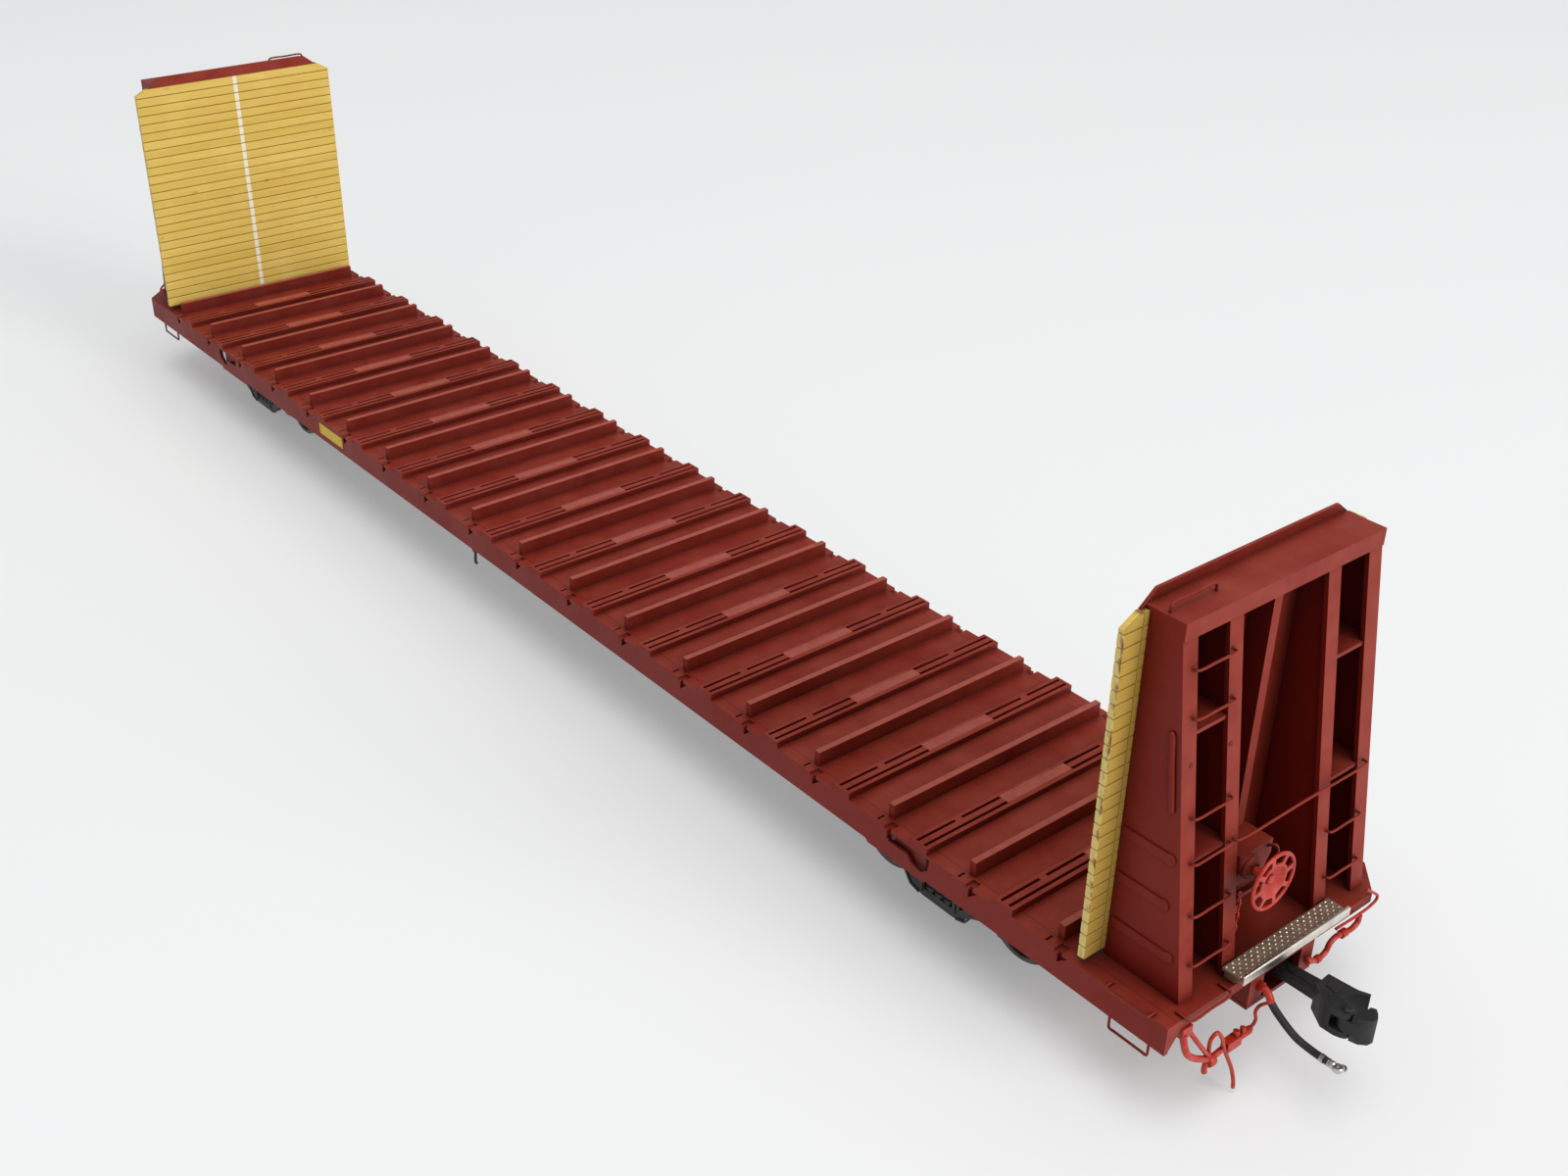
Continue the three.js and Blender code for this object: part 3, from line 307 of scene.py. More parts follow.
# ---- looks
class Look:
    """A procedural material being built."""

    def __init__(self, name, slot, roughness, metallic=0.0, specular=0.5):
        self.material = bpy.data.materials.new(name)
        self.material.use_nodes = True
        self.material["slot"] = slot
        self.tree = self.material.node_tree
        self.shader = self.tree.nodes["Principled BSDF"]
        settings = {"Roughness": roughness, "Metallic": metallic, "Specular IOR Level": specular}
        for key, value in settings.items():
            self.shader.inputs[key].default_value = value
        self.place = self.node("ShaderNodeTexCoord").outputs["Object"]

    def node(self, kind, inputs=None, **settings):
        made = self.tree.nodes.new(kind)
        for key, value in settings.items():
            setattr(made, key, value)
        for key, value in (inputs or {}).items():
            self.feed(made.inputs[key], value)
        return made

    def feed(self, socket, value):
        if isinstance(value, bpy.types.NodeSocket):
            self.tree.links.new(value, socket)
        else:
            socket.default_value = value

    def math(self, operation, a, b=0.0):
        return self.node("ShaderNodeMath", {0: a, 1: b}, operation=operation).outputs[0]

    def times(self, a, b):
        return self.math("MULTIPLY", a, b)

    def minus(self, a, b):
        return self.math("SUBTRACT", a, b)

    def over(self, a, b):
        return self.math("DIVIDE", a, b)

    def absolute(self, value):
        return self.math("ABSOLUTE", value)

    def above(self, value, limit):
        return self.math("GREATER_THAN", value, limit)

    def below(self, value, limit):
        return self.math("LESS_THAN", value, limit)

    def level_with(self, value, level):
        made = self.math("COMPARE", value, level)
        made.node.inputs[2].default_value = 0.0001
        return made

    def noise(self, scale, detail, stretch=(1, 1, 1), roughness=0.55):
        stretched = self.node("ShaderNodeVectorMath", {0: self.place, 1: stretch}, operation="MULTIPLY")
        place = stretched.outputs[0]
        return self.node("ShaderNodeTexNoise", {
            "Vector": place, "Scale": scale, "Detail": detail, "Roughness": roughness,
        }).outputs["Fac"]

    def spread(self, value, low, high, to_low=0.0, to_high=1.0):
        """value rescaled from one range to another, and clamped."""
        return self.node("ShaderNodeMapRange", {
            "Value": value, "From Min": low, "From Max": high, "To Min": to_low, "To Max": to_high,
        }).outputs["Result"]

    def patches(self, scale, detail, low, high, to_low=0.0, to_high=1.0):
        """Noise, rescaled in the same way."""
        return self.spread(self.noise(scale, detail), low, high, to_low, to_high)

    def mix(self, amount, a, b):
        """Colour a turning into colour b."""
        made = self.node("ShaderNodeMix", data_type="RGBA", clamp_factor=True)
        self.feed(made.inputs[0], amount)
        self.feed(made.inputs[6], a)
        self.feed(made.inputs[7], b)
        return made.outputs[2]

    def axes(self, socket=None):
        made = self.node("ShaderNodeSeparateXYZ", {0: socket or self.place})
        return made.outputs

    def facing(self):
        """The surface's direction, as x, y and z."""
        return self.axes(self.node("ShaderNodeNewGeometry").outputs["Normal"])

    def crevice(self, distance, dark_at=0.35):
        """1 in corners and gaps, 0 on open faces: the mask for painted shade."""
        occlusion = self.node("ShaderNodeAmbientOcclusion", {"Distance": distance}, samples=6)
        return self.spread(occlusion.outputs["AO"], dark_at, 0.95, 1.0, 0.0)

    def bump(self, height, strength, distance):
        settings = {"Height": height, "Strength": strength, "Distance": distance}
        normal = self.node("ShaderNodeBump", settings).outputs["Normal"]
        self.feed(self.shader.inputs["Normal"], normal)

    def finish(self, color, roughness=None):
        self.feed(self.shader.inputs["Base Color"], color)
        if roughness is not None:
            self.feed(self.shader.inputs["Roughness"], roughness)
        return self.material


def rgb(red, green, blue):
    """A colour given as screen values from 0 to 255."""
    shares = (v / 255 for v in (red, green, blue))
    return tuple(((v + 0.055) / 1.055) ** 2.4 if v > 0.04 else v / 12.92 for v in shares) + (1.0,)


def body_paint():
    """Satin red-brown paint: cloudy, with dust and painted sheen on top faces, a painted highlight on faces
    turned to the +x end, painted shade in corners and recesses, painted sheen on rib tops and strip
    middles, and a scribed line.
    """
    look = Look("body_paint", "body_red", 0.5, specular=0.18)
    cloud = look.patches(55, 4, 0.3, 0.7)
    fine = look.patches(950, 5, 0.3, 0.75)
    color = look.mix(cloud, rgb(124, 25, 12), rgb(112, 20, 9))
    color = look.mix(look.times(fine, 0.3), color, rgb(134, 34, 18))
    facing = look.facing()
    # Dust on top faces, lightened further so that it also serves as a painted sheen.
    up = look.spread(facing[2], 0.3, 1.0)
    dust = look.times(up, look.patches(210, 5, 0.3, 0.8, 0.25, 1.0))
    # Painted highlight on faces turned towards the +x end, where the end light stands.
    toward_end = look.spread(facing[0], 0.5, 1.0)
    end_highlight = look.times(toward_end, look.patches(260, 5, 0.3, 0.8, 0.2, 0.8))
    dust = look.math("MAXIMUM", dust, end_highlight)
    # dust here carries the dust and painted sheen on tops and the painted highlight on end faces.
    color = look.mix(look.times(dust, 0.5), color, rgb(174, 82, 62))
    # Painted shade deep in recesses and between the ribs.
    color = look.mix(look.times(look.crevice(0.010, 0.25), 0.75), color, rgb(60, 7, 4))
    # Painted shade in small corners and creases.
    color = look.mix(look.times(look.crevice(0.0011), 0.5), color, rgb(62, 10, 8))
    x, y, z = look.axes()
    edge = look.absolute(look.minus(look.absolute(y), SCRIBE_Y * MM))
    flat = look.above(facing[2], 0.9)
    low = look.below(z, RIB_TOP * MM - 0.0004)
    scribe = look.times(look.below(edge, 0.00006), look.times(flat, low))
    color = look.mix(look.times(scribe, 0.6), color, rgb(70, 22, 18))
    # Painted sheen on the rib tops and on the ungrooved middle of each strip's top.
    rib_top, strip_top = look.level_with(z, RIB_TOP * MM), look.level_with(z, STRIP_TOP * MM)
    middle = look.below(look.absolute(y), GROOVE_START * MM)
    repeat = look.over(look.minus(x, (RIB_OFFSET + STRIP_OFFSET) * MM), RIB_PITCH * MM)
    off_centre = look.absolute(look.minus(look.math("FRACT", repeat), 0.5))
    middle = look.times(middle, look.below(off_centre, STRIP_SHEEN / RIB_PITCH))
    top_sheen = look.math("ADD", rib_top, look.times(strip_top, middle))
    top_sheen = look.times(top_sheen, flat)
    top_sheen = look.times(top_sheen, look.spread(fine, 0.0, 1.0, 0.4, 0.65))
    color = look.mix(top_sheen, color, rgb(178, 98, 84))
    height = look.minus(look.noise(5200, 2), look.times(scribe, 2.0))
    look.bump(height, 0.12, 0.00005)
    rough = look.patches(120, 4, 0.3, 0.7, 0.42, 0.56)
    return look.finish(color, rough)


def board_paint():
    """Yellow painted boards: a tone for each, grain along it, dark gaps, chipped edges, a white line, and
    painted shade on their outer part.
    """
    look = Look("board_paint", "wood_yellow", 0.62, specular=0.35)
    x, y, z = look.axes()
    level = look.over(look.minus(z, LINING_BOTTOM * MM), BOARD_PITCH * MM)
    board = look.math("FLOOR", level)
    across = look.absolute(look.minus(look.math("FRACT", level), 0.5))
    tone = look.node("ShaderNodeTexWhiteNoise", {"W": board}, noise_dimensions="1D").outputs["Value"]
    grain = look.noise(1.0, 6, stretch=(900, 70, 2600), roughness=0.65)
    color = look.mix(look.spread(tone, 0.0, 1.0), rgb(212, 178, 80), rgb(220, 188, 94))
    color = look.mix(look.spread(grain, 0.42, 0.72, 0.0, 0.35), color, rgb(186, 146, 56))
    patch = look.patches(150, 4, 0.52, 0.75, 0.0, 0.3)
    color = look.mix(patch, color, rgb(232, 205, 120))
    stain = look.spread(look.noise(620, 5, stretch=(1, 0.6, 1.6)), 0.66, 0.76, 0.0, 0.7)
    color = look.mix(stain, color, rgb(158, 96, 44))
    depth = look.absolute(x)
    breadth = look.absolute(y)
    outer = look.above(depth, (LINING_FACE + 0.6) * MM)
    trim = look.below(breadth, LINING_TRIM * MM)
    trim_edge = look.below(look.absolute(look.minus(breadth, LINING_TRIM * MM)), 0.00005)
    # Painted shade: the outer part of the boards, back towards the bulkhead sheet, is darkened.
    color = look.mix(look.times(outer, 0.62), color, rgb(156, 120, 44))
    end_grain = look.spread(look.absolute(look.facing()[1]), 0.6, 0.95)
    chips = look.spread(look.noise(1500, 4, stretch=(1, 1, 0.45)), 0.5, 0.6)
    corner = look.spread(depth, (LINING_FACE + 0.2) * MM, (LINING_FACE + 0.75) * MM)
    chips = look.times(chips, corner)
    end_color = look.mix(chips, rgb(214, 190, 112), rgb(112, 62, 34))
    color = look.mix(end_grain, color, end_color)
    load_side = look.below(depth, (LINING_FACE + 0.3) * MM)
    line = look.times(look.below(breadth, 0.00034), load_side)
    line = look.times(line, look.spread(grain, 0.82, 0.6, 0.3, 0.85))
    color = look.mix(line, color, rgb(236, 232, 216))
    gap = look.spread(across, 0.42, 0.5)
    gap = look.times(gap, look.minus(1.0, look.times(outer, trim)))
    gap = look.math("MAXIMUM", gap, look.times(outer, trim_edge))
    color = look.mix(look.times(gap, 0.85), color, rgb(118, 76, 26))
    look.bump(look.math("ADD", grain, look.times(gap, -1.2)), 0.35, 0.00008)
    return look.finish(color, look.spread(grain, 0.3, 0.7, 0.55, 0.72))


def bright_paint():
    """Orange-red moulded fittings with slight mould streaks."""
    look = Look("fitting_paint", "piping_red", 0.42, specular=0.4)
    cloud = look.patches(260, 4, 0.3, 0.7)
    color = look.mix(cloud, rgb(180, 40, 22), rgb(158, 30, 16))
    streaks = look.patches(1600, 4, 0.45, 0.8)
    color = look.mix(look.times(streaks, 0.4), color, rgb(214, 84, 56))
    # Painted shade in creases.
    color = look.mix(look.times(look.crevice(0.0006), 0.7), color, rgb(92, 14, 8))
    look.bump(look.noise(3800, 3), 0.15, 0.00005)
    return look.finish(color, look.patches(700, 3, 0.3, 0.7, 0.3, 0.46))


def black_plastic():
    """Satin black plastic with brown dust that settles on top."""
    look = Look("black_plastic", "black_plastic", 0.5, specular=0.5)
    cloud = look.patches(240, 4, 0.35, 0.7)
    color = look.mix(cloud, rgb(38, 38, 40), rgb(48, 47, 47))
    dust = look.times(look.spread(look.facing()[2], 0.2, 1.0), look.patches(520, 5, 0.45, 0.8))
    color = look.mix(look.times(dust, 0.4), color, rgb(92, 80, 70))
    look.bump(look.noise(4200, 3), 0.18, 0.00005)
    return look.finish(color, look.patches(300, 3, 0.3, 0.7, 0.42, 0.6))


def underframe_paint():
    """Satin black plastic that turns to the body's red-brown paint towards the sides."""
    look = Look("underframe_paint", "black_plastic", 0.52, specular=0.35)
    cloud = look.patches(240, 4, 0.35, 0.7)
    black = look.mix(cloud, rgb(38, 38, 40), rgb(48, 47, 47))
    red = look.mix(cloud, rgb(112, 26, 15), rgb(96, 20, 12))
    ragged = look.times(look.noise(700, 4), 0.002)
    breadth = look.math("ADD", look.absolute(look.axes()[1]), ragged)
    color = look.mix(look.spread(breadth, 0.0125, 0.0145), black, red)
    # Painted shade in corners and creases.
    color = look.mix(look.times(look.crevice(0.001), 0.5), color, rgb(24, 10, 9))
    look.bump(look.noise(4200, 3), 0.18, 0.00005)
    return look.finish(color, look.patches(300, 3, 0.3, 0.7, 0.44, 0.6))


def coupler_metal():
    """Blackened metal casting with a fine sand texture and worn edges of the head."""
    look = Look("coupler_metal", "coupler_metal", 0.44, metallic=0.1, specular=0.4)
    sand = look.noise(6500, 4)
    color = look.mix(look.patches(420, 5, 0.35, 0.7), rgb(24, 24, 26), rgb(38, 37, 38))
    color = look.mix(look.patches(2600, 4, 0.66, 0.74, 0.0, 0.5), color, rgb(84, 82, 80))
    look.bump(sand, 0.3, 0.00006)
    return look.finish(color, look.patches(900, 4, 0.3, 0.7, 0.36, 0.56))


def metal(name, slot, light, dark, roughness, scratch_along):
    """Worn metal with fine scratches along one way."""
    look = Look(name, slot, roughness, metallic=1.0)
    scratch = look.noise(1.0, 5, stretch=scratch_along, roughness=0.7)
    tarnish = look.patches(640, 5, 0.4, 0.75)
    color = look.mix(tarnish, light, dark)
    look.bump(scratch, 0.15, 0.00003)
    return look.finish(color, look.spread(scratch, 0.3, 0.7, roughness - 0.08, roughness + 0.12))


def tread_metal():
    """Brown-stained tread plate."""
    look = Look("tread_plate", "tread_steel", 0.5, metallic=0.35)
    stain = look.patches(900, 5, 0.35, 0.7)
    color = look.mix(stain, rgb(150, 128, 108), rgb(118, 94, 78))
    # Painted shade in corners and round the studs.
    color = look.mix(look.times(look.crevice(0.0003), 0.6), color, rgb(70, 50, 40))
    look.bump(look.noise(3200, 4), 0.3, 0.00005)
    return look.finish(color, look.patches(1500, 4, 0.3, 0.7, 0.32, 0.55))


def rubber():
    look = Look("hose_rubber", "rubber", 0.55, specular=0.4)
    color = look.mix(look.patches(900, 4, 0.35, 0.7), rgb(26, 26, 28), rgb(44, 43, 43))
    look.bump(look.noise(5200, 3), 0.25, 0.00005)
    return look.finish(color, look.patches(1100, 3, 0.3, 0.7, 0.48, 0.68))


def panel_yellow():
    """A plain yellow painted panel on the side sill."""
    look = Look("panel_yellow", "wood_yellow", 0.45, specular=0.45)
    scuffs = look.spread(look.noise(1300, 5, stretch=(1, 1, 3)), 0.55, 0.72)
    color = look.mix(scuffs, rgb(206, 172, 30), rgb(150, 118, 22))
    look.bump(look.noise(4200, 3), 0.15, 0.00004)
    return look.finish(color, look.patches(600, 3, 0.3, 0.7, 0.4, 0.55))


BODY = body_paint()
BOARDS = board_paint()
BRIGHT = bright_paint()
BLACK = black_plastic()
UNDERFRAME = underframe_paint()
CASTING = coupler_metal()
STEEL = metal("bright_steel", "steel", rgb(196, 196, 192), rgb(150, 148, 144), 0.32, (900, 60, 900))
WHEEL = metal("wheel_metal", "wheel_metal", rgb(112, 108, 104), rgb(66, 62, 58), 0.42, (700, 700, 700))
BRONZE = metal("spring_bronze", "bronze", rgb(188, 138, 78), rgb(132, 92, 50), 0.36, (60, 900, 900))
LIP = metal("worn_lip", "tread_steel", rgb(226, 220, 208), rgb(188, 178, 164), 0.3, (1500, 50, 1500))
TREAD = tread_metal()
RUBBER = rubber()
PANEL = panel_yellow()

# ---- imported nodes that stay
def at_ends(*patterns):
    """Node names, with {e} standing for each end of the car."""
    return [p.format(e=e) for p in patterns for e in "ab"]


painted = at_ends("bulkhead_frame_{e}", "draft_box_{e}", "draft_box_lid_{e}")
dress(["deck", "brake_housing", *painted], BODY, bevel=0.05)
dress(at_ends("bulkhead_lining_{e}"), BOARDS, bevel=0.03)
dress(at_ends("crossover_platform_{e}"), TREAD, bevel=0.04)
dress(["underframe"], UNDERFRAME, bevel=0.04)
dress(["ballast_weight"], STEEL, bevel=0.08)
truck_castings = at_ends("truck_bolster_{e}", "truck_sideframe_{e}_left", "truck_sideframe_{e}_right")
dress(truck_castings, BLACK, bevel=0.06)
dress(at_ends("coupler_body_{e}", "coupler_knuckle_{e}"), CASTING, bevel=0.14, smooth=40)
dress(at_ends("centering_spring_{e}"), BRONZE, bevel=0.03)


# ---- bulkheads
def staple(a, b, out):
    """A wire bar from a to b that stands off along out, with both ends bent back into the face."""
    foot = 0.5
    a, b, out = Vector(a), Vector(b), Vector(out)
    run = (b - a).normalized()
    bend = min(0.35, (b - a).length * 0.2)
    return tube([
        a - out * foot, a + out * 0.3, a + out * 0.8 + run * bend * 0.15, a + out + run * bend,
        a.lerp(b, 0.5) + out,
        b + out - run * bend, b + out * 0.8 - run * bend * 0.15, b + out * 0.3, b - out * foot,
    ], 0.14, 10, 5)


RUNG_STAND = (0.55, 0, 0)
LEFT_RUNGS, LEFT_ENDS = (47.5, 42.8, 32.9, 28.2, 22.7, 17.4), (-12.9, -7.5)
RIGHT_RUNGS, RIGHT_ENDS = (22.7, 17.5), (7.6, 12.6)
SPARE_HOLES = (38.1,)
CROSS_RUNG, CROSS_ENDS = 28.2, (-6.9, 13.2)


def ladder_rungs():
    """Wire rungs across the posts on the bulkhead's outer face."""
    rungs = [(z, LEFT_ENDS, RUNG_STAND) for z in LEFT_RUNGS]
    rungs += [(z, RIGHT_ENDS, RUNG_STAND) for z in RIGHT_RUNGS]
    rungs += [(CROSS_RUNG, CROSS_ENDS, (0.62, 0, 0))]
    return [staple((post_back(z), near, z), (post_back(z), far, z), stand)
            for z, (near, far), stand in rungs]


def rung_bosses():
    """The small pads that the rungs are set in, with empty ones where a rung is missing."""
    spots = [(z, y) for z in LEFT_RUNGS + SPARE_HOLES for y in LEFT_ENDS]
    spots += [(z, y) for z in RIGHT_RUNGS for y in RIGHT_ENDS]
    ring = [(0.13, -0.1), (0.27, -0.1), (0.27, 0.02), (0.23, 0.07), (0.13, 0.07)]
    return [lathe(ring, "x", (post_back(z), y, z), 16) for z, y in spots]


def spare_hole_shade():
    """Black plugs set in the holes that have no rung, as painted shade for their empty depth."""
    return [bar(0.14, -0.1, 0.03, "x", (post_back(z), y, z), 12)
            for z in SPARE_HOLES for y in LEFT_ENDS]


def side_beads():
    """The long upright bead pressed in each side plate of the bulkhead, low and round."""
    low, high, flatness = DECK_TOP + 20.2, DECK_TOP + 27.7, 0.7
    cap = [(0, -0.25), (0.25, -0.18), (0.36, 0), (0.25, 0.18), (0, 0.25)]
    parts = []
    for face in (-14.38, 14.38):
        run = [(post_back(z) - 1.0, face, z) for z in (low, (low + high) / 2, high)]
        bead = tube(run, 0.36, 16, 4)
        parts.append(moved(bead, lambda v: Vector((v.x, face + (v.y - face) * flatness, v.z))))
        parts += [lathe(cap, "y", at, 16) for at in (run[0], run[-1])]
    return parts


def side_grab():
    middle = 113.7
    half = [(2.6, -16.75, -0.3), (2.6, -16.8, 0.12), (2.6, -17.3, 0.2), (2.55, -17.8, 0.15),
            (2.2, -17.95, 0.1)]
    near = [(middle - out, y, DECK_TOP + rise) for out, y, rise in half]
    far = [(2 * middle - x, y, z) for x, y, z in reversed(near)]
    return [*near, (middle, -17.95, DECK_TOP + 0.1), *far]


def end_grab():
    wire = [
        (117.4, -9.1, -0.3), (117.5, -9.1, 0.12), (118.2, -9.1, 0.22), (118.9, -9.15, 0.15),
        (119.1, -9.5, 0.05), (119.1, -12.2, 0), (119.1, -14.8, 0), (118.9, -15.15, 0.1),
        (118.2, -15.2, 0.2), (117.5, -15.2, 0.12), (117.4, -15.2, -0.3),
    ]
    return [(x, y, DECK_TOP + rise) for x, y, rise in wire]


both_ends("ladder_rungs", ladder_rungs(), BODY)
both_ends("rung_bosses", rung_bosses(), BODY)
# Black plugs as painted shade in the empty rung holes.
both_ends("spare_hole_shade", spare_hole_shade(), BLACK)
both_ends("side_beads", side_beads(), BODY)
both_ends("top_grab", [staple((109.5, -13.8, FRAME_TOP), (109.5, -7.7, FRAME_TOP), (0, 0, 0.85))], BODY)
both_ends("side_grab", [tube(side_grab(), 0.13, 10, 5)], BODY)
both_ends("end_grab", [tube(end_grab(), 0.13, 10, 5)], BODY)


# ---- crossover platforms
def tread_studs():
    """Five staggered rows of raised studs."""
    rows, columns, row_step, stud_step, shift = 5, 18, 0.44, 0.9, 0.22
    parts = []
    for row in range(rows):
        x = 117.15 + row * row_step
        first = -7.65 + (shift if row % 2 else -shift)
        for k in range(columns):
            parts.append(dome(0.15, 0.12, "z", (x, first + k * stud_step, PLATFORM_TOP), 1, 8))
    return parts


def tread_lip():
    edge = [(0, -0.5), (0.42, -0.5), (0.42, 0.36), (0.32, 0.5), (0.1, 0.5), (0, 0.42)]
    return prism([(119.14 + out, PLATFORM_TOP + rise) for out, rise in edge], "y", -8.23, 8.23)


both_ends("tread_studs", tread_studs(), LIP)
both_ends("tread_lip", [tread_lip()], LIP, bevel=0.05)


# ---- hand brake
DISH = (
    (0, -0.95), (0.95, -0.82), (1.72, -0.14), (1.95, -0.12), (1.95, 0.1), (1.68, 0.12),
    (0.92, -0.42), (0.55, -0.46), (0.5, -0.2), (0.36, -0.12), (0, -0.12),
)
SPOKE = ((1.8, -0.36), (2.3, -0.22), (2.88, -0.34), (2.88, 0.34), (2.3, 0.22), (1.8, 0.36))


def brake_wheel():
    """A thin rim, eight flat spokes and a dished centre."""
    rim = [(BRAKE_RIM - 0.2 + 0.2 * math.cos(a), BRAKE_X + 0.2 * math.sin(a))
           for a in full_turn(12)]
    at = (0, BRAKE_Y, BRAKE_Z)
    parts = [
        lathe(rim, "x", at, 72),
        lathe([(r, BRAKE_X + out) for r, out in DISH], "x", at, 56),
        bar(0.42, HOUSING_FRONT - 0.6, BRAKE_X - 0.7, "x", at),
    ]
    for k in range(8):
        middle = (k + 0.28) * math.pi / 4
        along_spoke = Vector((math.cos(middle), math.sin(middle)))
        aside = Vector((-along_spoke.y, along_spoke.x))
        centre = Vector((BRAKE_Y, BRAKE_Z))
        outline = [centre + along_spoke * r + aside * w for r, w in SPOKE]
        parts.append(prism([tuple(p) for p in outline], "x", BRAKE_X - 0.12, BRAKE_X + 0.12))
    return parts


piece("hand_brake_wheel", brake_wheel(), BRIGHT, "hand_wheel", ["brake_wheel"], bevel=0.05)


def gear_case_detail():
    """The round gear cover with its ribbed rim, the release lever and the corner bolts."""
    front = HOUSING_FRONT
    rim = [(0.56, -0.1), (1.2, -0.1), (1.24, 0.08), (1.1, 0.34), (0.78, 0.5), (0.56, 0.5)]
    cover = lathe([(r, front + out) for r, out in rim], "x", (0, BRAKE_Y, BRAKE_Z), 40)
    lever = tube([
        (front - 0.3, -2.2, HOUSING_Z[1] - 0.3), (front + 0.35, -2.0, HOUSING_Z[1] + 0.15),
        (front + 0.5, -1.6, HOUSING_Z[1] - 0.4), (front + 0.45, -1.5, HOUSING_Z[1] - 1.6),
    ], 0.14, 8)
    low, high = HOUSING_Z[0] + 0.5, HOUSING_Z[1] - 0.5
    corners = ((-2.9, low), (-5.6, low), (-1.6, high))
    bolts = [dome(0.2, 0.16, "x", (front - 0.5, y, z)) for y, z in corners]
    return [cover, lever, *bolts]


piece("gear_case_cover", gear_case_detail(), BODY)


def chain():
    """Links that hang from the gear case, each a quarter turn from the next."""
    x, y = 115.75, -5.6
    top, low = HOUSING_Z[0] + 0.1, DECK_TOP
    count = 11
    step = (top - low) / count
    half_width, half_length, wire = 0.24, 0.5, 0.11
    parts = []
    for i in range(count):
        middle = Vector((x, y, low + (i + 0.5) * step))
        across = Vector((half_width, 0, 0)) if i % 2 else Vector((0, half_width, 0))
        upward = Vector((0, 0, half_length))
        ring = [middle + across * math.cos(a) + upward * math.sin(a) for a in full_turn(12)]
        parts.append(tube(ring, wire, 8, 1, closed=True))
    return parts


piece("brake_chain_links", chain(), BRIGHT, replaces=["brake_chain"])


# ---- end fittings
def uncoupling_lever():
    x = DECK_END + 0.4
    return [
        box((x - 0.9, -15.3, 11.0), (x - 0.15, -13.9, 12.28)),
        tube([(x - 0.4, -15, 11.4), (x, -14.6, 9.3), (x, -13.4, 7.9), (x, -10.6, 6.0)], 0.36, 12),
        tube([(x - 0.4, -14.1, 11.4), (x, -13, 9.6), (x, -10.5, 6.1)], 0.25, 12),
        tube([
            (x, -10.5, 6), (x, -10.9, 7.4), (x, -10.85, 8.7), (x + 0.1, -10.2, 9.2), (x + 0.2, -9.4, 8.2),
            (x + 0.2, -8.7, 6.4), (x + 0.3, -8, 4.9), (x + 0.5, -7.2, 3.0), (x + 0.8, -7, 1.5),
            (x + 0.85, -6.95, 0.7),
        ], 0.21, 12),
        tube([(x, -10.8, 5.9), (x, -8.6, 6.2), (x, -7, 6.25), (x, -4.4, 6.4)], 0.32, 12),
        lathe([(0, -10.95), (0.62, -10.9), (0.7, -10.5), (0.62, -10.05), (0, -10.0)],
              "y", (x, 0, 5.85), 20),
        tube([(x, -11.0, 5.9), (x, -11.15, 5.1), (x, -11.05, 4.6)], 0.3, 12),
        box((x - 0.48, -8.4, 5.65), (x + 0.48, -6.3, 6.85)),
        bar(0.34, 6.7, 7.45, "z", (x, -6.75, 0), 16),
        bar(0.3, 6.7, 7.3, "z", (x, -5.75, 0), 16),
        bar(0.42, -6.3, -4.6, "y", (x, 0, 6.3), 20),
        tube([
            (x, -5, 6.4), (x, -4.1, 6.6), (x, -3.8, 7.1), (x, -4.1, 8.3), (x, -3.7, 8.7),
            (x + 0.2, -2.3, 8.6),
        ], 0.18, 12),
    ]


def branch_pipe():
    x = DECK_END + 0.45
    return [
        tube([
            (x, 7.5, 12.5), (x, 9.5, 12.4), (x, 11.4, 12.35), (x, 13.1, 12.45), (x, 14.15, 12.8),
            (x, 14.2, 13.3), (x, 13.6, 13.9), (x, 12.6, 14.7), (x, 11.8, 15.3),
        ], 0.16, 12),
        tube([
            (x, 11.5, 12.2), (x, 11.45, 11.4), (x, 10.6, 10.95), (x, 9.2, 11.1), (x, 7.9, 11.35),
            (x, 6.95, 11.0), (x, 6.5, 10.2), (x, 5.6, 9.85), (x, 4.5, 10.05), (x, 3.5, 10.7),
        ], 0.3, 14),
        bar(0.46, 8.6, 9.5, "y", (x, 0, 11.15), 24),
        bar(0.42, 4.9, 5.5, "y", (x, 0, 9.9), 24),
        lathe([(0, 3.2), (0.38, 3.25), (0.44, 3.5), (0.38, 3.85), (0, 3.9)], "y", (x, 0, 10.6), 20),
    ]


both_ends("uncoupling_rigging", uncoupling_lever(), BRIGHT, ["uncoupling_lever_{e}"], bevel=0.08)
both_ends("branch_pipe_run", branch_pipe(), BRIGHT, ["branch_pipe_{e}"])


def train_line():
    """The brake pipe: two long runs beside the centre sill, a crossing, and a bend by each draft box."""
    bend = tube([
        (96, -PIPE_Y, PIPE_Z), (101, -PIPE_Y, PIPE_Z), (104, -5.5, PIPE_Z),
        (106, -6.1, PIPE_Z), (115.4, -6.1, PIPE_Z),
    ], PIPE_R, 16)
    half = [
        bend,
        bar(0.54, 114.7, 115.5, "x", (0, -6.1, PIPE_Z), 20),
        bar(PIPE_R, 0, 98, "x", (0, -PIPE_Y, PIPE_Z), 20),
    ]
    half += [bar(0.56, at, at + 1.0, "x", (0, -PIPE_Y, PIPE_Z), 20) for at in (24, 52, 92)]
    return half + [half_turn(p) for p in half] + [bar(PIPE_R, -PIPE_Y, PIPE_Y, "y", (0, 0, PIPE_Z), 20)]


piece("train_line_run", train_line(), BRIGHT, replaces=["train_line_pipe"])


def hose_body():
    return [tube(smooth_path(HOSE, 9), 0.39, 20, 1)]


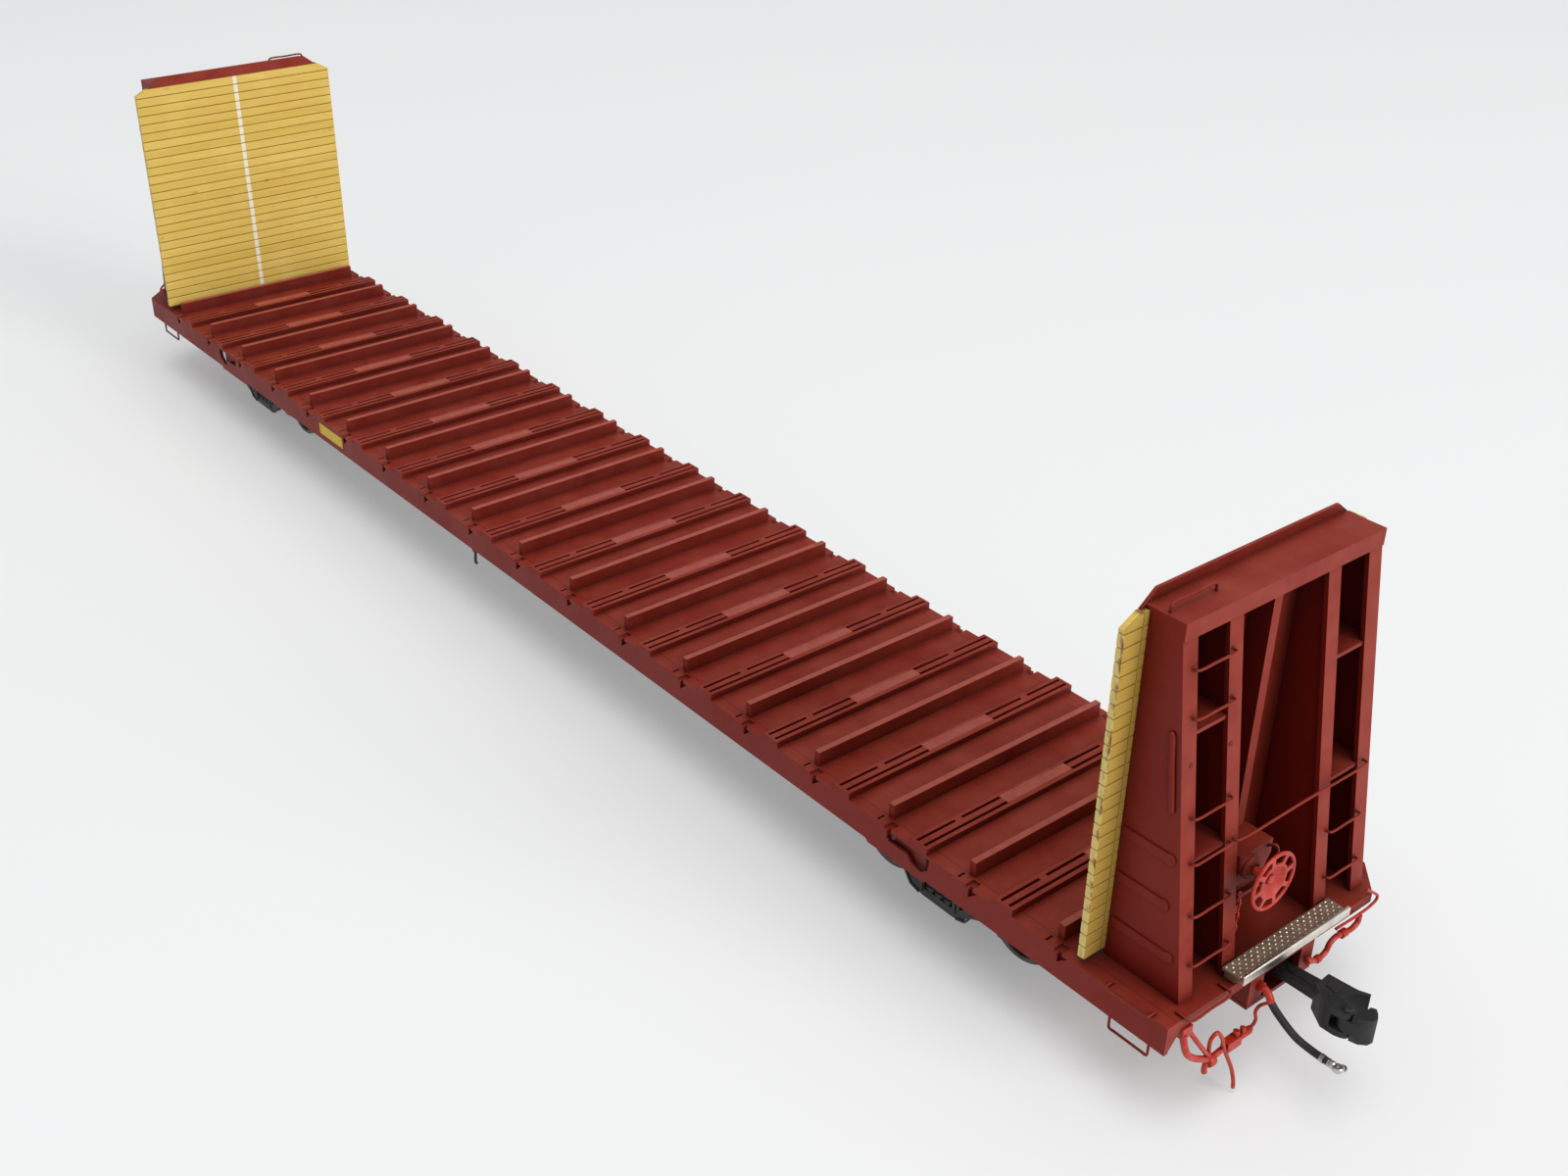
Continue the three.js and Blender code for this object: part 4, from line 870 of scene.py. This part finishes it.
def hose_elbow():
    """The elbow that plugs the hose into the front of the draft box, with its nut."""
    x, y, z = HOSE[0]
    bend = tube([
        (118.32, y, z + 0.95), (x - 0.8, y, z + 0.95), (x - 0.2, y, z + 0.45), (x + 0.1, y, z - 0.1),
    ], 0.4, 20)
    return [bend, hexagon(0.56, 118.32, 118.75, "x", (0, y, z + 0.95))]


def hose_clamp():
    """A band round the hose near its free end."""
    path = smooth_path(HOSE, 9)
    last = len(path) - 1
    return [tube(path[int(0.9 * last):int(0.97 * last) + 1], 0.45, 20, 1)]


def glad_hand():
    """The metal hose end: a threaded neck, a round gasket face and a hooked lug."""
    x, y, z = HOSE[-1]
    thread = [(0, -0.35), (0.3, -0.35), (0.3, 0), (0.42, 0.02), (0.42, 0.22), (0.33, 0.26),
              (0.33, 0.34), (0.42, 0.38), (0.42, 0.58), (0.3, 0.7), (0, 0.72)]
    neck = lathe(thread, "x", (x, y, z), 24)
    ring = lathe([(0.2, -0.3), (0.42, -0.32), (0.5, -0.22), (0.5, 0.18), (0.42, 0.28), (0.22, 0.26)],
                 "z", (x + 1.05, y, z), 32)
    lug = tube([
        (x + 1.0, y + 0.38, z), (x + 1.25, y + 0.62, z + 0.1), (x + 1.6, y + 0.5, z + 0.12),
        (x + 1.72, y + 0.1, z + 0.1),
    ], 0.13, 10)
    return [neck, ring, lug]


both_ends("air_hose_tube", hose_body(), RUBBER, ["air_hose_{e}"])
both_ends("air_hose_elbow", hose_elbow(), BRIGHT)
both_ends("hose_clamp", hose_clamp(), STEEL)
both_ends("glad_hand_casting", glad_hand(), STEEL, ["glad_hand_{e}"])


# ---- sill steps
def sill_step(x0, x1):
    y, top, low = -SILL_Y + 0.28, SILL_BOTTOM - 0.03, SILL_BOTTOM - 1.6
    bend = [(0, top), (0, low + 0.6), (0.04, low + 0.14), (0.16, low), (0.8, low)]
    down = [(x0 + inset, y, z) for inset, z in bend]
    up = [(x1 - inset, y, z) for inset, z in reversed(bend)]
    return tube(down + up, 0.14, 12)


both_ends("sill_step_end_wire", [sill_step(111.6, 116.4)], BODY, ["sill_step_end_{e}"])
both_ends("sill_step_inner_wire", [sill_step(-110.8, -105.4)], BODY, ["sill_step_inner_{e}"])


# ---- side sill pockets, panel and bracket
def pocket_backs():
    """The blind bottom of the three-cornered hole in the side sill under each rib's end."""
    top, out = DECK_TOP - 0.35, 0.08
    parts = []
    for i in range(RIB_COUNT):
        x = (i - (RIB_COUNT - 1) / 2) * RIB_PITCH + RIB_OFFSET
        left = x + 0.5 - out
        hole = [(left, top + out), (left, top - 1.05 - 2 * out), (x + 1.75 + 2 * out, top + out)]
        for side in (-1, 1):
            parts.append(prism(hole, "y", side * (SILL_Y - 0.75), side * (SILL_Y - 0.4)))
    return parts


piece("pocket_backs", pocket_backs(), BODY)


def sill_panel():
    """A thin yellow plate on the side sill, with a raised rim and rivets."""
    x0, x1, z0, z1 = -50.1, -42.7, 11.2, 12.9
    rim, front = 0.07, -SILL_Y - 0.04
    parts = [prism([(x0, z0), (x1, z0), (x1, z1), (x0, z1)], "y", 0.05 - SILL_Y, front)]
    left, right, low, high = x0 + rim, x1 - rim, z0 + rim, z1 - rim
    edge = [(left, front, low), (right, front, low), (right, front, high), (left, front, high)]
    parts += [tube([start, end], rim, 8, 1) for start, end in zip(edge, edge[1:] + edge[:1])]
    for x in (x0 + 0.45, (x0 + x1) / 2, x1 - 0.45):
        parts += [dome(0.1, 0.07, "y", (x, front, z), -1, 10) for z in (z0 + 0.4, z1 - 0.4)]
    return parts


piece("sill_panel_right", sill_panel(), PANEL)
piece("sill_panel_left", [half_turn(part) for part in sill_panel()], PANEL)
both_ends("sill_bracket", [
    box((-6.0, -16.9, 9.2), (-5.2, -16.4, 10.3)),
    tube([(-5.6, -16.6, 9.4), (-5.6, -16.7, 8.4), (-5.3, -16.9, 7.9), (-4.8, -17.0, 7.9)], 0.2, 10),
], BLACK, bevel=0.04)


# ---- air brake gear
def tank(radius, half, at):
    """A tank with domed ends; the bands round it are made separately by band()."""
    x, y, z = at
    dish, angles = 0.75, [math.pi / 12 * k for k in range(7)]
    start = [(radius * math.sin(a), x - half + dish * (1 - math.cos(a))) for a in angles[1:]]
    end = [(radius * math.cos(a), x + half - dish * (1 - math.sin(a))) for a in angles[:-1]]
    return lathe([(0, x - half), *start, *end, (0, x + half)], "x", (0, y, z), 40)


def band(radius, x, width, at_y, at_z):
    inner, outer, left, right = radius - 0.1, radius + 0.1, x - width / 2, x + width / 2
    return lathe([(inner, left), (outer, left), (outer, right), (inner, right)], "x", (0, at_y, at_z), 40)


CYLINDER, RESERVOIR, VALVE = (-13, 8, 8.9), (8, 8.5, 8.9), (10, -9, 9.2)
GEAR_TOP = 11.17


def brake_cylinder():
    x, y, z = CYLINDER
    bolts = [hexagon(0.22, x + 1.98, x + 2.2, "x", (0, y + 1.45 * math.cos(a), z + 1.45 * math.sin(a)))
             for a in full_turn(8)]
    return [
        tank(1.5, 3, CYLINDER), bar(1.78, x + 1.5, x + 2.02, "x", (0, y, z)), band(1.5, x - 1.4, 0.3, y, z),
        box((x - 1.6, y - 0.8, z), (x + 1.6, y + 0.8, GEAR_TOP)),
        bar(0.28, x + 2, x + 6.5, "x", (0, y, z), 16),
        bar(0.5, x + 6.1, x + 6.5, "x", (0, y, z), 16), *bolts,
    ]


def air_reservoir():
    x, y, z = RESERVOIR
    return [
        tank(1.7, 5, RESERVOIR), band(1.7, x, 0.4, y, z),
        band(1.7, x - 3.1, 0.35, y, z), band(1.7, x + 3.1, 0.35, y, z),
        box((x - 2, y - 0.8, z), (x + 2, y + 0.8, GEAR_TOP)),
        bar(0.36, x - 5.4, x - 4.8, "x", (0, y, z), 16), bar(0.36, x + 4.8, x + 5.4, "x", (0, y, z), 16),
    ]


def control_valve():
    x, y, z = VALVE
    bolts = [hexagon(0.18, -0.1, 0.12, "x", (x + s * 2.0, y + 0.45 * math.cos(a), z + 0.45 * math.sin(a)))
             for s in (-1, 1) for a in full_turn(4)]
    return [
        box((x - 1.1, y - 0.9, z - 1), (x + 1.1, y + 0.9, GEAR_TOP)),
        bar(0.72, x - 2, x + 2, "x", (0, y, z)), bar(0.9, x - 1.7, x - 1.4, "x", (0, y, z)),
        bar(0.9, x + 1.4, x + 1.7, "x", (0, y, z)),
        bar(0.6, y - 1.5, y + 1.3, "y", (x, 0, z - 0.1)),
        bar(0.78, y - 1.45, y - 1.15, "y", (x, 0, z - 0.1)), *bolts,
    ]


def brake_rigging():
    """Rods, levers and pipes between the cylinder, the reservoir and the valve."""
    cx, cy, cz = CYLINDER
    rx, ry, rz = RESERVOIR
    vx, vy, vz = VALVE
    lever_x = cx + 6.3
    lever = [(lever_x, cy + 0.5, cz), (lever_x, cy - 1.5, cz - 0.1), (lever_x, cy - 3.3, cz - 0.2)]
    parts = [
        tube(lever, 0.26, 10),
        bar(0.16, lever_x, 60, "x", (0, cy - 3.3, cz - 0.2), 12),
        bar(0.16, -60, lever_x, "x", (0, cy - 3.0, cz - 0.55), 12),
        bar(0.34, cz - 0.6, cz + 0.3, "z", (lever_x, cy - 3.2, 0), 14),
    ]
    from_tank = [(5.2, ry, rz), (6.2, ry, rz + 0.3), (6.6, ry - 1.2, rz + 1.2), (6.6, 4.7, rz + 1.5)]
    from_valve = [(1.9, vy, vz), (3, vy + 0.4, vz + 0.4), (3.4, vy + 2, vz + 1.2), (3.4, -4.8, vz + 1.4)]
    for middle, pipe in ((rx, from_tank), (vx, from_valve)):
        parts += [tube([(middle + s * out, y, z) for out, y, z in pipe], 0.2, 10) for s in (-1, 1)]
    return parts


piece("brake_cylinder_body", brake_cylinder(), BLACK, replaces=["brake_cylinder"], bevel=0.04)
piece("air_reservoir_tank", air_reservoir(), BLACK, replaces=["air_reservoir"], bevel=0.04)
piece("control_valve_body", control_valve(), BLACK, replaces=["control_valve"], bevel=0.04)
piece("brake_rigging", brake_rigging(), BLACK)


# ---- trucks
def wheel(side):
    """A metal wheel with a coned tread, a flange and a dished plate, centred on its axle."""
    back = 7.2
    profile = [
        (AXLE_R, 0), (1.45, 0), (1.6, 0.35), (3.7, 0.55), (4.0, 0.12), (FLANGE_R - 0.28, 0),
        (FLANGE_R - 0.08, 0.08), (FLANGE_R, 0.26), (FLANGE_R - 0.1, 0.5), (TREAD_R + 0.16, 0.68),
        (TREAD_R + 0.02, 0.9), (TREAD_R - 0.08, 2.65), (TREAD_R - 0.2, 2.8), (4.1, 2.8), (3.95, 2.6),
        (3.7, 1.45), (1.75, 1.15), (1.55, 1.35), (1.5, 2.15), (1.35, 2.25), (AXLE_R, 2.25),
    ]
    return lathe([(r, side * (back + h)) for r, h in profile], "y", (0, 0, AXLE_Z), 64)


def axle_bar():
    end = 12.2
    half = [(AXLE_R, 3), (AXLE_R, 10.5), (JOURNAL_R, 10.9), (JOURNAL_R, end - 0.15),
            (JOURNAL_R - 0.1, end), (0, end)]
    mirrored = [(r, -h) for r, h in reversed(half)]
    return lathe([*mirrored, (AXLE_R - 0.12, 0), *half], "y", (0, 0, AXLE_Z), 32)


def coil_spring(x, y):
    """A wire coil round one of the side frame's spring posts."""
    turns, per_turn, low, high, radius = 6, 10, 3.5, 6.8, 0.6
    steps = turns * per_turn
    path = []
    for k in range(steps + 1):
        angle = 2 * math.pi * k / per_turn
        z = low + (high - low) * k / steps
        path.append((x + radius * math.cos(angle), y + radius * math.sin(angle), z))
    return tube(path, 0.15, 6, 1)


def bearing_caps(x, side):
    """Roller bearing end caps with three bolts on each journal box."""
    cap = [(0, -0.1), (0.82, -0.1), (0.82, 0.1), (0.6, 0.2), (0.25, 0.2), (0.2, 0.12), (0, 0.12)]
    face, middle, bolt_circle = side * JOURNAL_OUTER, AXLE_Z + 0.2, 0.44
    profile = [(r, face + side * h) for r, h in cap]
    parts = []
    for cx in (x - AXLE_OFFSET, x + AXLE_OFFSET):
        parts.append(lathe(profile, "y", (cx, 0, middle), 32))
        for k in range(3):
            angle = math.pi / 2 + 2 * math.pi * k / 3
            across, height = bolt_circle * math.cos(angle), middle + bolt_circle * math.sin(angle)
            parts.append(dome(0.14, 0.12, "y", (cx + across, face + side * 0.2, height), side, 6))
    return parts


def sideframe_ribs(x, side):
    """The raised rim along the side frame's chords and the lines beside its springs."""
    outer = side * SIDEFRAME_OUTER
    low, high = sorted((outer - 0.1 * side, outer + 0.14 * side))
    top = [(11.2, 6.75), (9.5, 7.25), (5.5, 8.85), (0, 8.85), (0, 8.6), (5.4, 8.6), (9.4, 7.0), (11.1, 6.5)]
    column = [(2.35, 3.0), (2.75, 3.0), (2.75, 8.3), (2.35, 8.3)]
    chord = [(2.9, 2.65), (4.2, 3.05), (5.1, 4.3), (7.7, 5.3), (7.7, 5.05), (5.25, 4.05), (4.35, 2.8),
             (2.9, 2.4)]
    return [prism([(x + s * px, pz) for px, pz in rib], "y", low, high)
            for s in (-1, 1) for rib in (top, column, chord)]


BRAKE_SHOE = ((-0.3, 3.9), (0.5, 3.7), (0.65, 5.0), (0.5, 6.3), (-0.3, 6.1))


def brake_beams(x):
    """A beam with two shoes behind each wheelset, hung from the truck bolster."""
    parts = []
    for s in (-1, 1):
        bx = x + s * 4.1
        parts.append(bar(0.3, -9.2, 9.2, "y", (bx, 0, 5.0), 12))
        for side in (-1, 1):
            y = side * 8.9
            parts.append(prism([(bx + s * out, z) for out, z in BRAKE_SHOE], "y", y - 0.8, y + 0.8))
        parts.append(tube([(bx, 0, 5.0), (x + s * 3.0, 0, 5.9), (x + s * 1.9, 0, 6.9)], 0.26, 8))
    return parts


def truck_screw(x):
    """A pan-head screw, and black bars on its head as painted shade for the cross slot."""
    top, under = 6.15, 6.85
    head = lathe([
        (0, top + 0.12), (0.5, top + 0.12), (0.62, top), (1.1, top), (1.5, top + 0.22),
        (1.6, under), (0, under),
    ], "z", (x, 0, 0), 40)
    threads = [(0, 6.4)]
    for k in range(11):
        z = 7.0 + k * 0.42
        threads += [(0.7, z), (0.8, z + 0.14), (0.8, z + 0.2), (0.7, z + 0.34)]
    threads += [(0.5, 11.9), (0, 11.9)]
    shank = lathe(threads, "z", (x, 0, 0), 32)
    # Black bars across the head, painted shade standing for the cross slot.
    slots = [box((x - a, -b, top - 0.02), (x + a, b, top + 0.13)) for a, b in ((0.55, 0.14), (0.14, 0.55))]
    return [head, shank], slots


for end, x in (("a", -TRUCK_X), ("b", TRUCK_X)):
    screw, cross = truck_screw(x)
    piece(f"truck_screw_steel_{end}", screw, STEEL, replaces=[f"truck_screw_{end}"])
    # The cross slot's painted shade, in black plastic.
    piece(f"truck_screw_slot_shade_{end}", cross, BLACK)
    piece(f"brake_beams_{end}", brake_beams(x), BLACK, f"truck_{end}", bevel=0.05)
    detail = []
    for side in (-1, 1):
        detail += bearing_caps(x, side) + sideframe_ribs(x, side)
        detail += [coil_spring(x + px, side * (SIDEFRAME_Y + 0.55)) for px in (-1.35, 0, 1.35)]
    piece(f"truck_detail_{end}", detail, BLACK, f"truck_{end}", smooth=40)
    for position, sign in (("inner", -1), ("outer", 1)):
        axle_x = Vector((x + math.copysign(1, x) * sign * AXLE_OFFSET, 0, 0))
        body = f"wheelset_{end}_{position}"
        wheels = [f"wheel_{end}_{position}_{hand}" for hand in ("left", "right")]
        pair = [moved(wheel(s), lambda v: v + axle_x) for s in (1, -1)]
        piece(f"wheel_pair_{end}_{position}", pair, WHEEL, body, wheels)
        axle = moved(axle_bar(), lambda v: v + axle_x)
        piece(f"axle_bar_{end}_{position}", [axle], STEEL, body, [f"axle_{end}_{position}"])


# ---- couplers and draft gear
def coupler_detail():
    """Cast ribs on the shank, the pin's head and the lifter lug under the head."""
    high, head = COUPLER_Z + 0.5, COUPLER_Z + 1.42
    pin = [(0, head), (0.55, head), (0.55, head + 0.16), (0.42, head + 0.26), (0, head + 0.28)]
    return [
        prism([(118.6, -0.3), (122.6, -0.36), (122.6, 0.36), (118.6, 0.3)], "z", high - 0.05, high + 0.1),
        lathe(pin, "z", (126.2, -1.7, 0), 28),
        prism([(123.0, -0.5), (124.2, -0.7), (124.2, 0.7), (123.0, 0.5)], "z", head, head + 0.18),
    ]


for end, place in (("b", swung), ("a", half_turn)):
    detail = [place(part) for part in coupler_detail()]
    piece(f"coupler_detail_{end}", detail, CASTING, f"coupler_{end}", bevel=0.06)


def lid_screw():
    head, x = 8.57, PIVOT_X
    return [
        lathe([
            (0, head - 0.4), (0.16, head - 0.4), (0.16, head - 0.56), (0.85, head - 0.56),
            (1.1, head - 0.3), (1.1, head), (0, head),
        ], "z", (x, 0, 0), 36),
        bar(0.48, head - 0.1, 11.5, "z", (x, 0, 0), 24),
    ]


both_ends("draft_box_screw_steel", lid_screw(), STEEL, ["draft_box_screw_{e}"])


# ---- rivets
def rivet_line(a, b, count, axis, up):
    a, b, radius = Vector(a), Vector(b), 0.13
    return [dome(radius, radius * 0.7, axis, a.lerp(b, k / (count - 1)), up, 8) for k in range(count)]


def centre_sill_rivets():
    parts = []
    for side in (-1, 1):
        parts += rivet_line((-60, side * 3.5, 8.6), (60, side * 3.5, 8.6), 62, "z", -1)
        parts += rivet_line((-76, side * 3.2, 9.6), (76, side * 3.2, 9.6), 70, "y", side)
    return parts


piece("centre_sill_rivets", centre_sill_rivets(), BLACK)


# ---- floor and light
def make_floor():
    """A wide pale sheet under the car, lit a little from beneath so that shadows on it stay light."""
    mesh = bpy.data.meshes.new("floor")
    reach = 30.0
    corners = [(-reach, -reach, 0), (reach, -reach, 0), (reach, reach, 0), (-reach, reach, 0)]
    mesh.from_pydata(corners, [], [(0, 1, 2, 3)])
    floor = link("floor", mesh)
    look = Look("floor_sheet", "", 0.6, specular=0.2)
    look.shader.inputs["Emission Color"].default_value = (0.985, 0.992, 1.0, 1.0)
    look.shader.inputs["Emission Strength"].default_value = 0.25
    look.bump(look.noise(900, 2), 0.02, 0.0001)
    mesh.materials.append(look.finish(look.mix(look.noise(6, 2), rgb(209, 209, 208), rgb(206, 206, 206))))


def area_light(name, at, toward, size, power):
    data = bpy.data.lights.new(name, "AREA")
    data.shape = "DISK"
    data.size = size
    data.energy = power
    light = link(name, data)
    light.location = at
    light.rotation_mode = "QUATERNION"
    light.rotation_quaternion = (Vector(toward) - Vector(at)).to_track_quat("-Z", "Y")


def make_light():
    world = bpy.data.worlds.new("studio")
    world.use_nodes = True
    background = world.node_tree.nodes["Background"]
    background.inputs["Color"].default_value = (0.96, 0.98, 1.0, 1)
    background.inputs["Strength"].default_value = 0.48
    bpy.context.scene.world = world
    area_light("top_light", (0.35, -0.35, 1.8), (0, 0, 0), 1.3, 14.5)
    area_light("end_light", (1.45, 0.35, 0.66), (0, 0, 0.02), 0.8, 13.2)


make_floor()
make_light()
bpy.context.scene.view_settings.view_transform = "Standard"
